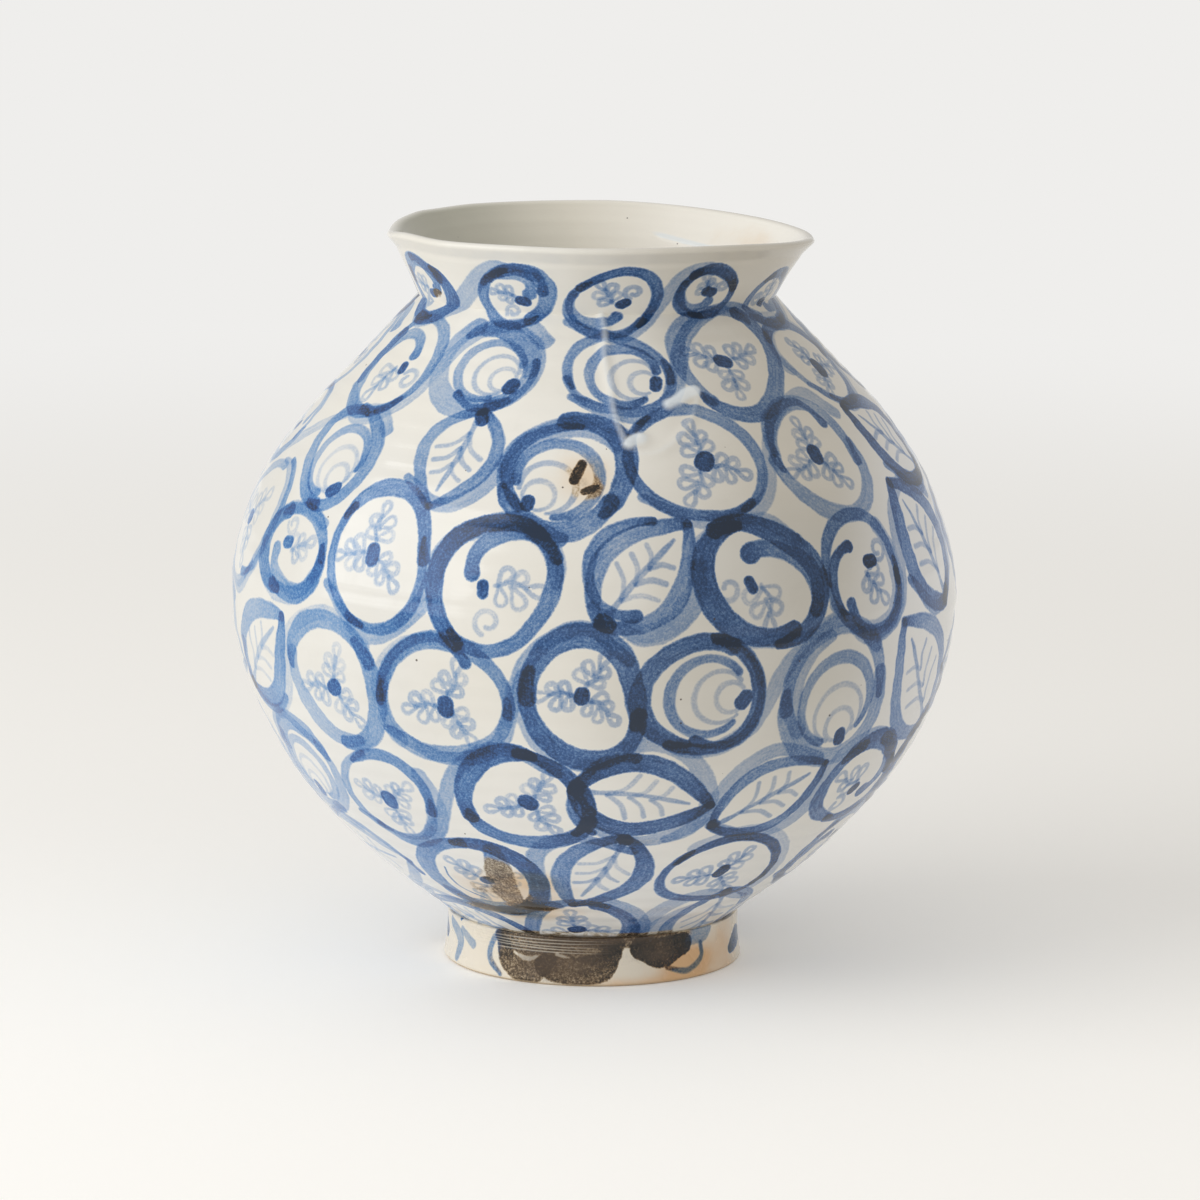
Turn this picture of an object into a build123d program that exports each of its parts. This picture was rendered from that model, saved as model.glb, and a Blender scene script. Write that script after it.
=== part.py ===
from build123d import *
import os
from math import asin, atan2, cos, degrees, radians, sin

# Large Korean moon jar in glazed porcelain, on a high foot ring, under a flared collar.
# It is thrown as a foot, two bowls and a collar, which are luted together.
# Millimetres and degrees. Z is up, and the origin is on the table at the centre of the foot.

# Foot ring
foot_height = 25.2
foot_radius = 77.9
foot_hollow = 0.7
foot_step = 1.6
foot_wall = 8.5
foot_root_wall = 12.0
foot_face_round = 2.4
foot_top_round = 0.9

# Outline of the two bowls: on each side of the belly, a tight arc runs into a long one
belly_radius = 186.0
lower_belly_curve = 155.7
lower_belly_angle = 39.3
base_curve = 345.0
base_angle = 17.3
upper_belly_curve = 123.4
upper_belly_angle = 37.9
shoulder_curve = 640.0
shoulder_angle = 9.15
wall = 6.0

# Floor inside the lower bowl: where the wall leaves the base's curve, and the curve of the dish
floor_curve = 42.0
floor_start_angle = 13.5
quarter_angle = 90.0

# Roll of clay inside the belly joint, as its thickness and the angle that it covers on each side
seam_thickness = 3.2
seam_angle = 4.6

# Mouth collar: its rim is a little oval and off centre, dips at both ends and stands higher at the back
collar_height = 36.0
rim_radius = 112.9
rim_depth_radius = 110.8
rim_shift = 2.8
swell_share = 0.43
lip_wall = 4.6
lip_round_share = 0.85
rim_dip = 4.5
rim_tilt_shift = 23.7
rim_lean_angle = 0.44
rim_twist_angle = 7.7
collar_overrun = 3.0

os.makedirs("parts", exist_ok=True)


def arc_centre(start_radius, start_height, first_curve, second_curve, turn, side):
    """Centre of the long arc that runs on, tangent, from the tight arc; side is 1 upwards and -1 down."""
    shift = first_curve - second_curve
    radius = start_radius - first_curve + shift * cos(radians(turn))
    height = start_height + side * shift * sin(radians(turn))
    return radius, height


# Heights and radii that follow from the outline, worked out from the foot upwards
base_full_angle = lower_belly_angle + base_angle
belly_height = (
    foot_height
    + base_curve * (sin(radians(base_full_angle)) - sin(radians(lower_belly_angle)))
    + lower_belly_curve * sin(radians(lower_belly_angle))
)
base_centre = arc_centre(belly_radius, belly_height, lower_belly_curve, base_curve, lower_belly_angle, -1)
base_radius = base_centre[0] + base_curve * cos(radians(base_full_angle))
shoulder_centre = arc_centre(
    belly_radius, belly_height, upper_belly_curve, shoulder_curve, upper_belly_angle, 1
)
neck_angle = upper_belly_angle + shoulder_angle
neck_radius = shoulder_centre[0] + shoulder_curve * cos(radians(neck_angle))
neck_height = shoulder_centre[1] + shoulder_curve * sin(radians(neck_angle))

# The inner wall follows the same centres, and is cut level at the neck
inner_shoulder_curve = shoulder_curve - wall
inner_neck_angle = degrees(asin((neck_height - shoulder_centre[1]) / inner_shoulder_curve))
throat_radius = shoulder_centre[0] + inner_shoulder_curve * cos(radians(inner_neck_angle))
inner_belly_radius = belly_radius - wall

# Foot ring: flared a little, with a hollow side outside and a straight taper inside.
# Its top edge stands a step outside the bowl's base, which leaves a crease round the joint.
foot_top_radius = base_radius + foot_step

with BuildPart() as foot_ring:
    with BuildSketch(Plane.XZ):
        with BuildLine():
            foot_side = ThreePointArc(
                (foot_radius, 0),
                ((foot_radius + foot_top_radius) / 2 - foot_hollow, foot_height / 2),
                (foot_top_radius, foot_height),
            )
            Polyline(
                foot_side @ 1,
                (foot_top_radius - foot_root_wall, foot_height),
                (foot_radius - foot_wall, 0),
                foot_side @ 0,
            )
        make_face()
    revolve(axis=Axis.Z)
    face_edges = foot_ring.faces().sort_by(Axis.Z)[0].edges()
    fillet(face_edges, radius=foot_face_round)
    top_edge = foot_ring.faces().sort_by(Axis.Z)[-1].edges().sort_by(SortBy.LENGTH)[-1]
    fillet(top_edge, radius=foot_top_round)
foot_ring.part.label = "foot_ring"
export_step(foot_ring.part, "parts/foot_ring.step")

# Lower bowl: flat where the foot is luted on, and a dished floor inside
with BuildPart() as lower_bowl:
    with BuildSketch(Plane.XZ):
        with BuildLine():
            belly = JernArc((belly_radius, belly_height), (0, -1), lower_belly_curve, -lower_belly_angle)
            base = JernArc(belly @ 1, belly % 1, base_curve, -base_angle)
            inner_belly = JernArc(
                (inner_belly_radius, belly_height), (0, -1), lower_belly_curve - wall, -lower_belly_angle
            )
            inner_base = JernArc(
                inner_belly @ 1, inner_belly % 1, base_curve - wall, -floor_start_angle
            )
            dish = JernArc(
                inner_base @ 1,
                inner_base % 1,
                floor_curve,
                lower_belly_angle + floor_start_angle - quarter_angle,
            )
            Line(belly @ 0, inner_belly @ 0)
            Polyline(dish @ 1, (0, (dish @ 1).Y), (0, foot_height), base @ 1)
        make_face()
    revolve(axis=Axis.Z)
lower_bowl.part.label = "lower_bowl"
export_step(lower_bowl.part, "parts/lower_bowl.step")

# Belly seam: its back lies on the inner wall of both bowls
with BuildPart() as belly_seam:
    with BuildSketch(Plane.XZ):
        with BuildLine():
            above = JernArc(
                (inner_belly_radius, belly_height), (0, 1), upper_belly_curve - wall, seam_angle
            )
            below = JernArc(
                (inner_belly_radius, belly_height), (0, -1), lower_belly_curve - wall, -seam_angle
            )
            ThreePointArc(
                above @ 1, (inner_belly_radius - seam_thickness, belly_height), below @ 1
            )
        make_face()
    revolve(axis=Axis.Z)
belly_seam.part.label = "belly_seam"
export_step(belly_seam.part, "parts/belly_seam.step")

# Upper bowl: open at the neck, where the collar stands on its level edge
with BuildPart() as upper_bowl:
    with BuildSketch(Plane.XZ):
        with BuildLine():
            belly = JernArc((belly_radius, belly_height), (0, 1), upper_belly_curve, upper_belly_angle)
            shoulder = JernArc(belly @ 1, belly % 1, shoulder_curve, shoulder_angle)
            inner_belly = JernArc(
                (inner_belly_radius, belly_height), (0, 1), upper_belly_curve - wall, upper_belly_angle
            )
            inner_shoulder = JernArc(
                inner_belly @ 1,
                inner_belly % 1,
                inner_shoulder_curve,
                inner_neck_angle - upper_belly_angle,
            )
            Line(belly @ 0, inner_belly @ 0)
            Line(shoulder @ 1, inner_shoulder @ 1)
        make_face()
    revolve(axis=Axis.Z)
upper_bowl.part.label = "upper_bowl"
export_step(upper_bowl.part, "parts/upper_bowl.step")

# Mouth collar: lofted from the round neck to the off-centre rim, outside and inside,
# then its top is cut by a wide cylinder lying front to back, so that the two ends of the rim dip.
# The cylinder lies to the left, so that the right end dips more, and its back end is lifted and turned left.
swell_height = neck_height + collar_height / 2
top_height = neck_height + collar_height + collar_overrun
rise_share = (collar_height + collar_overrun) / collar_height
dip_curve = rim_radius**2 / (2 * rim_dip)

# The lip leans as far as its upper half flares, and both its edges round off most of the wall square to it
half_flare = (max(rim_radius, rim_depth_radius) - neck_radius) * (1 - swell_share)
lip_lean = atan2(half_flare, collar_height / 2)
lip_round = lip_wall * cos(lip_lean) * lip_round_share / 2

# Each surface of the collar, as its radius at the neck, how far it lies inside the rim, and its use
collar_surfaces = ((neck_radius, 0, Mode.ADD), (throat_radius, lip_wall, Mode.SUBTRACT))
# Each level section, as its height and its share of the way from neck to rim
collar_levels = ((neck_height, 0), (swell_height, swell_share), (top_height, rise_share))

# Plane of the cylinder's circle: its x_dir runs along the rim's dip, and its z_dir along the crest, forwards
lean = radians(rim_lean_angle)
twist = radians(rim_twist_angle)
rim_plane = Plane(
    origin=(rim_shift - rim_tilt_shift, 0, neck_height + collar_height),
    x_dir=(cos(twist), sin(twist), 0),
    z_dir=(sin(twist) * cos(lean), -cos(twist) * cos(lean), -sin(lean)),
)

with BuildPart() as mouth_collar:
    for start_radius, inset, use in collar_surfaces:
        flare = rim_radius - inset - start_radius
        depth_flare = rim_depth_radius - inset - start_radius
        for height, share in collar_levels:
            with BuildSketch(Plane.XY.offset(height)):
                with Locations((rim_shift * share, 0)):
                    Ellipse(start_radius + flare * share, start_radius + depth_flare * share)
        loft(mode=use)
    with BuildSketch(rim_plane):
        with Locations((0, -dip_curve)):
            Circle(dip_curve)
    extrude(amount=rim_radius + collar_overrun, both=True, mode=Mode.INTERSECT)
    lip_edges = mouth_collar.faces().sort_by(Axis.Z)[-1].edges()
    fillet(lip_edges, radius=lip_round)
mouth_collar.part.label = "mouth_collar"
export_step(mouth_collar.part, "parts/mouth_collar.step")

print("base radius", round(base_radius, 2), "floor thickness", round((dish @ 1).Y - foot_height, 2))
print("belly height", round(belly_height, 2), "neck radius", round(neck_radius, 2))
print("neck height", round(neck_height, 2), "rim height", round(neck_height + collar_height, 2))
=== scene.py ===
import math
import bpy
import numpy as np
from mathutils import Matrix, Vector


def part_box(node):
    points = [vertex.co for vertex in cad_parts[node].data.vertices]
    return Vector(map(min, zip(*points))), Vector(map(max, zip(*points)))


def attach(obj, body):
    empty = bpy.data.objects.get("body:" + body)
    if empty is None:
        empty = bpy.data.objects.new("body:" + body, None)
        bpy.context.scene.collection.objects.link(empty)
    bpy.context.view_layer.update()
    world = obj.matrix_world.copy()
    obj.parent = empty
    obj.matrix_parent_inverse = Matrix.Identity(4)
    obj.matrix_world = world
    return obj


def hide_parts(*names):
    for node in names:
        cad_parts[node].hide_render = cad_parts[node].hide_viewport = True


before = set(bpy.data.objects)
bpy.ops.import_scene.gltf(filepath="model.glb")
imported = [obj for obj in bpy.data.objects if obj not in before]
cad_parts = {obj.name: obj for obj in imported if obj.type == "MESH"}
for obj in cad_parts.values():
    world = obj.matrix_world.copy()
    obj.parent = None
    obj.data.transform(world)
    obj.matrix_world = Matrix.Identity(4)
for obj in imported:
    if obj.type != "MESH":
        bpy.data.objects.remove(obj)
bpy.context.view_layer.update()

# Metres throughout, except that the brushwork is worked out in millimetres.
# Round the jar, u is the longitude in radians, 0 at the side that faces the camera and growing to its right.
# Up the jar, s is the length along the outside, 0 where the foot joins the bowl.
MM = 0.001
TURN = 2 * math.pi
# All that is uneven by hand is drawn from one seeded generator, in the order in which the strokes are made
draw = np.random.default_rng(11)

# Heights and radii that the frame holds
FOOT_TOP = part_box("foot_ring")[1][2]
FOOT_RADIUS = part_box("foot_ring")[1][0]
BELLY_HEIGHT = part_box("lower_bowl")[1][2]
BELLY_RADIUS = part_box("lower_bowl")[1][0]
NECK_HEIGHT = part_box("mouth_collar")[0][2]
RIM_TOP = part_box("mouth_collar")[1][2]

# The outline's arcs from the foot up, as the radius of each and the angle that it covers
ARC_RADII = np.array([345.0, 155.7, 123.4, 640.0]) * MM
ARC_ANGLES = np.radians([17.3, 39.3, 37.9, 9.15])
WALL = 6.0 * MM
FLOOR_CURVE = 42.0 * MM
FLOOR_START_ANGLE = math.radians(13.5)
SEAM_THICKNESS = 3.2 * MM
SEAM_ANGLE = math.radians(4.6)

# Collar and foot. TAPER_END is the share of the foot's height where its inside turns into the standing edge.
RIM_RADIUS = 112.9 * MM
RIM_DEPTH_RADIUS = 110.8 * MM
RIM_SHIFT = 2.8 * MM
COLLAR_HEIGHT = 36.0 * MM
RIM_DIP = 4.5 * MM
RIM_TILT_SHIFT = 23.7 * MM
RIM_LEAN = math.radians(0.44)
RIM_TWIST = math.radians(7.7)
LIP_WALL = 4.6 * MM
THROAT_RADIUS = 82.2 * MM
LIP_CROWN = 2.5 * MM
FOOT_STEP = 1.6 * MM
FOOT_WALL = 8.5 * MM
FOOT_ROOT_WALL = 12.0 * MM
FOOT_HOLLOW = 0.7 * MM
FOOT_FACE_ROUND = 2.4 * MM
FOOT_TOP_ROUND = 0.9 * MM
TAPER_END = 0.12

# Where each arc starts: the elevation of the outward normal, the length along the outline, and its centre
NORMALS = np.concatenate([[0.0], np.cumsum(ARC_ANGLES)]) - ARC_ANGLES[:2].sum()
LENGTHS = np.concatenate([[0.0], np.cumsum(ARC_RADII * ARC_ANGLES)])
BELLY_LENGTH = LENGTHS[2]
NECK_LENGTH = LENGTHS[4]


def arc_centres():
    """Radius and height of each arc's centre: neighbours share the normal where they meet, so their centres
    lie on that normal, as far apart as their radii differ."""
    centres = np.zeros((4, 2))
    for arc in (1, 2):
        centres[arc] = BELLY_RADIUS - ARC_RADII[arc], BELLY_HEIGHT
    for arc, beside, normal in ((0, 1, NORMALS[1]), (3, 2, NORMALS[3])):
        gap = ARC_RADII[beside] - ARC_RADII[arc]
        centres[arc] = centres[beside] + gap * np.array([math.cos(normal), math.sin(normal)])
    return centres


CENTRES = arc_centres()
NECK_RADIUS = CENTRES[3, 0] + ARC_RADII[3] * math.cos(NORMALS[4])
BASE_RADIUS = CENTRES[0, 0] + ARC_RADII[0] * math.cos(NORMALS[0])
FOOT_TOP_RADIUS = BASE_RADIUS + FOOT_STEP
COLLAR_LENGTH = math.hypot(COLLAR_HEIGHT, RIM_RADIUS - NECK_RADIUS)


def outline(s, inset=0.0):
    """Radius, height and normal's elevation at length s: each arc is its centre plus its radius,
    less the inset, along the normal, which turns evenly with s."""
    arc = np.clip(np.searchsorted(LENGTHS, s, side="right") - 1, 0, 3)
    normal = NORMALS[arc] + (s - LENGTHS[arc]) / ARC_RADII[arc]
    radius = CENTRES[arc, 0] + (ARC_RADII[arc] - inset) * np.cos(normal)
    height = CENTRES[arc, 1] + (ARC_RADII[arc] - inset) * np.sin(normal)
    return radius, height, normal


# How steeply the collar flares at the neck, and how much steeper towards the rim
FLARE_START = 0.74
FLARE_GROWTH = 0.24


def flare_share(rise):
    """Share of the way from neck to rim that the collar has flared at a share of its height."""
    return rise * (FLARE_START + FLARE_GROWTH * rise)


# The painted wall from the foot to the rim: length s, radius and height. Below 0 is the foot, which ends a
# gap below the bowl, and past the neck is the collar.
JOINT_GAP = 0.2 * MM
BOWL_LENGTHS = np.linspace(0.0, NECK_LENGTH, 400)
RISES = np.linspace(0.05, 1.0, 20)
WALL_LENGTHS = np.concatenate([[-FOOT_TOP, -JOINT_GAP], BOWL_LENGTHS, NECK_LENGTH + COLLAR_LENGTH * RISES])
WALL_RADII = np.concatenate(
    [
        [FOOT_RADIUS, FOOT_TOP_RADIUS],
        outline(BOWL_LENGTHS)[0],
        NECK_RADIUS + (RIM_RADIUS - NECK_RADIUS) * flare_share(RISES),
    ]
)
WALL_HEIGHTS = np.concatenate(
    [[0.0, FOOT_TOP - JOINT_GAP], outline(BOWL_LENGTHS)[1], NECK_HEIGHT + COLLAR_HEIGHT * RISES]
)


def chart_radius(s):
    """Radius of the painted wall at length s."""
    return np.interp(s, WALL_LENGTHS, WALL_RADII)


def turn_from(place, u):
    """How far u lies round the jar from a place, the short way: from minus half a turn to half a turn."""
    return (u - place + math.pi) % TURN - math.pi


def bell(offset, spread):
    """Bell curve: 1 in the middle, and e to the power of minus the square of offset over spread beside it."""
    return np.exp(-((offset / spread) ** 2))


def facing(place, aim):
    """The turn that points -Z from a place to its aim."""
    return (aim - place).to_track_quat("-Z", "Y").to_matrix()


def new_object(name, data):
    """A new object of the scene."""
    made = bpy.data.objects.new(name, data)
    bpy.context.collection.objects.link(made)
    return made


# Camera, as fitted to the photograph. Its frame is 1200 pixels wide and high, and its rays are tested against
# the wall at these distances.
FRAME_PIXELS = 1200
SENSOR_WIDTH = 36.0
LENS = 162.4
CAMERA_PLACE = Vector((0.0, -2.744, 0.670))
CAMERA_AIM = Vector((0.0027, 0.0, 0.1857))
CAMERA_ROLL = 0.0072
RAY_LENGTHS = np.arange(2.4, 3.0, 0.1 * MM)


def make_camera():
    """Camera at the photograph's viewing angle."""
    data = bpy.data.cameras.new("camera")
    data.lens = LENS
    data.sensor_width = SENSOR_WIDTH
    camera = new_object("camera", data)
    turn = facing(CAMERA_PLACE, CAMERA_AIM) @ Matrix.Rotation(CAMERA_ROLL, 3, "Z")
    camera.matrix_world = Matrix.Translation(CAMERA_PLACE) @ turn.to_4x4()
    bpy.context.scene.camera = camera
    return np.array(turn)


CAMERA_TURN = make_camera()
FOCAL_PIXELS = LENS / SENSOR_WIDTH * FRAME_PIXELS


def wall_at(x, y):
    """Longitude u and length s of the wall's point behind a pixel of the photograph: the first point along
    the camera's ray that is no farther from the axis than the wall at its height."""
    ray = CAMERA_TURN @ np.array([x - FRAME_PIXELS / 2, FRAME_PIXELS / 2 - y, -FOCAL_PIXELS])
    ray = ray / np.linalg.norm(ray)
    points = np.array(CAMERA_PLACE) + RAY_LENGTHS[:, None] * ray
    wall = np.interp(points[:, 2], WALL_HEIGHTS, WALL_RADII)
    first = np.argmax((np.hypot(points[:, 0], points[:, 1]) <= wall) & (points[:, 2] > 0))
    point = points[first]
    return math.atan2(point[0], -point[1]), float(np.interp(point[2], WALL_HEIGHTS, WALL_LENGTHS))


def local_path(places):
    """The first point's u and s, and all the points in millimetres from it, across and up."""
    places = np.array(places)
    radius = chart_radius(places[:, 1])
    across = (places[:, 0] - places[0, 0]) * radius / MM
    return places[0, 0], places[0, 1], np.stack([across, (places[:, 1] - places[0, 1]) / MM], axis=-1)


def rounded(path, count=60):
    """A smooth path through a few points: Catmull-Rom, each piece a cubic of its four nearest points."""
    path = np.asarray(path, dtype=float)
    path = np.concatenate([[2 * path[0] - path[1]], path, [2 * path[-1] - path[-2]]])
    place = np.linspace(0, len(path) - 3 - 1e-9, count)
    piece = place.astype(int)
    t = (place - piece)[:, None]
    a, b, c, d = (path[piece + shift] for shift in range(4))
    return 0.5 * (2 * b + (c - a) * t + (2 * a - 5 * b + 4 * c - d) * t**2 + (3 * b - a - 3 * c + d) * t**3)


# Swellings and hollows of the hand-thrown wall, seen at the left and right edges of the photograph.
# Each is the side (-1 left, 1 right), how far it stands out, its length along the outline and its spread.
SWELLINGS = (
    (-1, 1.7 * MM, 0.206, 0.026),
    (-1, -1.2 * MM, 0.135, 0.022),
    (-1, -1.0 * MM, 0.352, 0.024),
    (1, 1.5 * MM, 0.316, 0.020),
    (1, -1.1 * MM, 0.253, 0.024),
    (1, 0.8 * MM, 0.052, 0.018),
)
# How far the whole wall lies inside the outline, the ridge of the luted belly, the throwing rings, the slow
# waves round the jar, and the length over which all of these fade out at the foot and at the neck
SKIN_SETTLE = -0.8 * MM
SEAM_RIDGE = 0.45 * MM
SEAM_RIDGE_SPREAD = 4.0 * MM
THROWING_RIPPLE = 0.12 * MM
THROWING_PITCH = 11.0 * MM
SLOW_WAVES = (0.30 * MM, 0.22 * MM)
CALM_ENDS = 12 * MM


def swelling(u, s):
    """How far the thrown wall stands out: bell curves along the outline, weighted to one side of the jar,
    the luting ridge, slow waves round the jar and faint throwing rings."""
    out = np.full(np.broadcast(u, s).shape, SKIN_SETTLE)
    for side, height, place, spread in SWELLINGS:
        out += height * bell(s - place, spread) * np.clip(side * np.sin(u), 0, 1) ** 1.5
    out += SEAM_RIDGE * bell(s - BELLY_LENGTH, SEAM_RIDGE_SPREAD)
    out += SLOW_WAVES[0] * np.sin(3 * u + 1.0 + 14 * s) + SLOW_WAVES[1] * np.sin(5 * u - 2.0 - 9 * s)
    out += THROWING_RIPPLE * np.sin(TURN * s / THROWING_PITCH + 2 * np.sin(u))
    fade = np.clip(s / CALM_ENDS, 0, 1) * np.clip((NECK_LENGTH - s) / CALM_ENDS, 0, 1)
    return out * fade


def around(radius, height, u):
    """Points at a radius and height round the axis: x is radius times sin u, y minus radius times cos u."""
    radius, height, u = np.broadcast_arrays(radius, height, u)
    return np.stack([radius * np.sin(u), -radius * np.cos(u), height], axis=-1)


def bowl_rings(s, inset=0.0):
    """Rings of the wall's outside or, with an inset, its inside: the outline carried round the axis and moved
    along its normal by the swelling."""
    s, u = s[:, None], LONGITUDES[None, :]
    radius, height, normal = outline(s, inset)
    out = swelling(u, s) + glaze_run(u, s) if inset == 0.0 else 0.0
    out = np.minimum(out, (BELLY_RADIUS - radius) / np.cos(normal))
    return around(radius + out * np.cos(normal), height + out * np.sin(normal), u)


# Grids: the points of each ring, and the mark of a ring without brushwork

COLUMNS = 640
COLUMN_EDGES = np.linspace(-math.pi, math.pi, COLUMNS + 1)
LONGITUDES = COLUMN_EDGES[:-1]
UNPAINTED = -1.0
# The bake map: height of each painted strip, the space between strips, the top of the third strip, and the
# poles' fans: how far each reaches, and where they lie
STRIP_SHARE = 0.34
STRIP_MARGIN = 0.012
STRIP_TOP = 0.84
FAN_REACH = 0.06
FAN_PLACES = ((0.1, 0.92), (0.3, 0.92))
# Edges that bend more than this stay sharp
SHARP_ANGLE = math.radians(40)


def steps(start, end, pitch):
    """Evenly spaced values from start to end, about a pitch apart."""
    return np.linspace(start, end, max(2, int(round(abs(end - start) / pitch)) + 1))


def corners(before, after):
    """Four corners a face, in order round it: two on the row before, then two on the row after."""
    return np.stack([before[..., 0], before[..., 1], after[..., 1], after[..., 0]], axis=-1).reshape(-1, 4)


class Shell:
    """A closed surface as rings of points round the jar. It either ends in a pole at both ends, where the
    rings have shrunk to the axis, or its last ring meets its first. Rings with a length s take brushwork,
    and the others count as the jar's inside where outside is 0."""

    def __init__(self, name, outside=0.0):
        self.name = name
        self.outside = outside
        self.rings = []
        self.lengths = []
        self.fired = []
        self.poles = None

    def add(self, points, lengths=None, fired=None):
        """Adds rings: an array of rings by columns by three, the length s of each, and for rings without
        one the marks of the firing, if any."""
        self.rings.append(points)
        self.lengths.append(np.full(len(points), UNPAINTED) if lengths is None else lengths)
        plain = (0.0, 0.0, 0.0, self.outside)
        self.fired.append(np.broadcast_to(plain if fired is None else fired, (len(points), COLUMNS, 4)))

    def build(self, strokes=()):
        """Makes the mesh and its object, faces outwards, with its bake map and brushwork."""
        points = np.concatenate(self.rings)
        lengths = np.concatenate(self.lengths)
        count = len(points)
        lower = np.arange(count - 1 if self.poles else count)
        upper = (lower + 1) % count
        edges = np.stack([np.arange(COLUMNS), (np.arange(COLUMNS) + 1) % COLUMNS], axis=-1)
        index = np.arange(count * COLUMNS).reshape(count, COLUMNS)
        quads = corners(index[lower][:, edges], index[upper][:, edges])
        sides = np.stack([COLUMN_EDGES[:-1], COLUMN_EDGES[1:]], axis=-1)[None].repeat(len(lower), axis=0)
        u = corners(sides, sides)
        wide = np.ones((1, COLUMNS, 2), dtype=int)
        rows = corners(lower[:, None, None] * wide, (lower[:, None, None] + 1) * wide)
        s = corners(lengths[lower][:, None, None] * wide, lengths[upper][:, None, None] * wide)
        painted = (s != UNPAINTED).all(axis=1)

        vertices = points.reshape(-1, 3)
        faces = [quads]
        if self.poles:
            low, high = len(vertices), len(vertices) + 1
            vertices = np.concatenate([vertices, self.poles])
            first = np.stack([index[0][edges[:, 1]], index[0][edges[:, 0]], np.full(COLUMNS, low)], axis=-1)
            last = np.stack([index[-1][edges[:, 0]], index[-1][edges[:, 1]], np.full(COLUMNS, high)], axis=-1)
            faces += [first, last]

        mesh = bpy.data.meshes.new(self.name)
        mesh.vertices.add(len(vertices))
        mesh.vertices.foreach_set("co", vertices.ravel())
        sizes = np.concatenate([np.full(len(block), block.shape[1]) for block in faces])
        mesh.loops.add(int(sizes.sum()))
        used = np.concatenate([block.ravel() for block in faces])
        mesh.loops.foreach_set("vertex_index", used.astype(np.int32))
        mesh.polygons.add(len(sizes))
        mesh.polygons.foreach_set("loop_start", np.concatenate([[0], np.cumsum(sizes)[:-1]]).astype(np.int32))
        mesh.polygons.foreach_set("loop_total", sizes.astype(np.int32))
        mesh.update(calc_edges=True)
        mesh.polygons.foreach_set("use_smooth", np.ones(len(sizes), dtype=bool))
        mesh.set_sharp_from_angle(angle=SHARP_ANGLE)

        self.unwrap(mesh, vertices, faces, u, s, rows, painted)
        marked = np.zeros((len(vertices), 4))
        marked[: count * COLUMNS] = np.concatenate(self.fired).reshape(-1, 4)
        skin = np.flatnonzero(np.repeat(lengths != UNPAINTED, COLUMNS))
        marked[skin] = firing(np.tile(LONGITUDES, count)[skin], np.repeat(lengths, COLUMNS)[skin])
        fired = mesh.attributes.new("firing", "FLOAT_COLOR", "POINT")
        fired.data.foreach_set("color", marked.astype(np.float32).ravel())
        lay_brushwork(mesh, u, s, painted, strokes)
        return new_object(self.name, mesh)

    def unwrap(self, mesh, vertices, faces, u, s, rows, painted):
        """The bake map: the painted skin fills two strips, the front half and the back half of the jar,
        and every other ring lies in a third strip above them. Pole fans are laid flat in its corners."""
        middle = u.mean(axis=1, keepdims=True)
        back = np.abs(middle) > math.pi / 2
        beside = np.where(back, (u - math.pi * np.sign(middle)), u)
        across = STRIP_MARGIN + (1 - 2 * STRIP_MARGIN) * (beside / math.pi + 0.5)
        low = s[painted].min() if painted.any() else 0.0
        high = s[painted].max() if painted.any() else 1.0
        up = STRIP_MARGIN + STRIP_SHARE * (s - low) / (high - low) + back * (STRIP_SHARE + STRIP_MARGIN)
        rest_low = 2 * STRIP_SHARE + 3 * STRIP_MARGIN
        plain = ~painted.reshape(-1, COLUMNS)[:, 0]
        order = np.concatenate([[0], np.cumsum(plain)])[rows.astype(int)]
        rest = rest_low + (STRIP_TOP - rest_low) * order / max(1, plain.sum())
        whole = STRIP_MARGIN + (1 - 2 * STRIP_MARGIN) * (u / TURN + 0.5)
        paint = painted[:, None]
        maps = [np.stack([np.where(paint, across, whole), np.where(paint, up, rest)], axis=-1).reshape(-1, 2)]
        for fan, place in zip(faces[1:], FAN_PLACES):
            flat = vertices[fan][..., :2]
            maps.append((flat / np.abs(flat).max() * FAN_REACH + np.array(place)).reshape(-1, 2))
        layer = mesh.uv_layers.new(name="OFBake")
        layer.data.foreach_set("uv", np.concatenate(maps).astype(np.float32).ravel())


# Brushwork: a stroke is a path on the wall, laid flat round the point where it starts. Each face has slots
# for a few strokes. In millimetres: the pitch of a path's samples, how far a frayed edge reaches past the
# stroke, a margin for the search, and the half width that marks an empty slot.

STROKE_SLOTS = 6
PATH_PITCH = 1.0
EDGE_REACH = 1.6
SEARCH_MARGIN = 2.0
EMPTY_SLOT = -99.0
# No brushwork above this length, just below the lip
PAINT_END = NECK_LENGTH + COLLAR_LENGTH - 6.5 * MM


class Stroke:
    """One brush stroke in millimetres: its path from the point (u, s) on the wall, half width and strength
    along the path, resampled to an even pitch."""

    def __init__(self, u, s, path, half, strength):
        path = np.asarray(path, dtype=float)
        along = np.concatenate([[0.0], np.cumsum(np.hypot(*np.diff(path, axis=0).T))])
        self.total = along[-1]
        self.along = steps(0.0, self.total, PATH_PITCH)
        shares = np.linspace(0, 1, len(path))
        place = np.interp(self.along, along, shares)
        self.points = np.stack([np.interp(place, shares, path[:, axis]) for axis in (0, 1)], axis=-1)
        ahead = np.gradient(self.points, axis=0)
        self.ahead = ahead / np.maximum(np.hypot(*ahead.T)[:, None], 1e-9)
        self.half = np.interp(place, shares, np.broadcast_to(half, len(path)))
        self.strength = np.interp(place, shares, np.broadcast_to(strength, len(path)))
        self.u = u
        self.s = s


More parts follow.
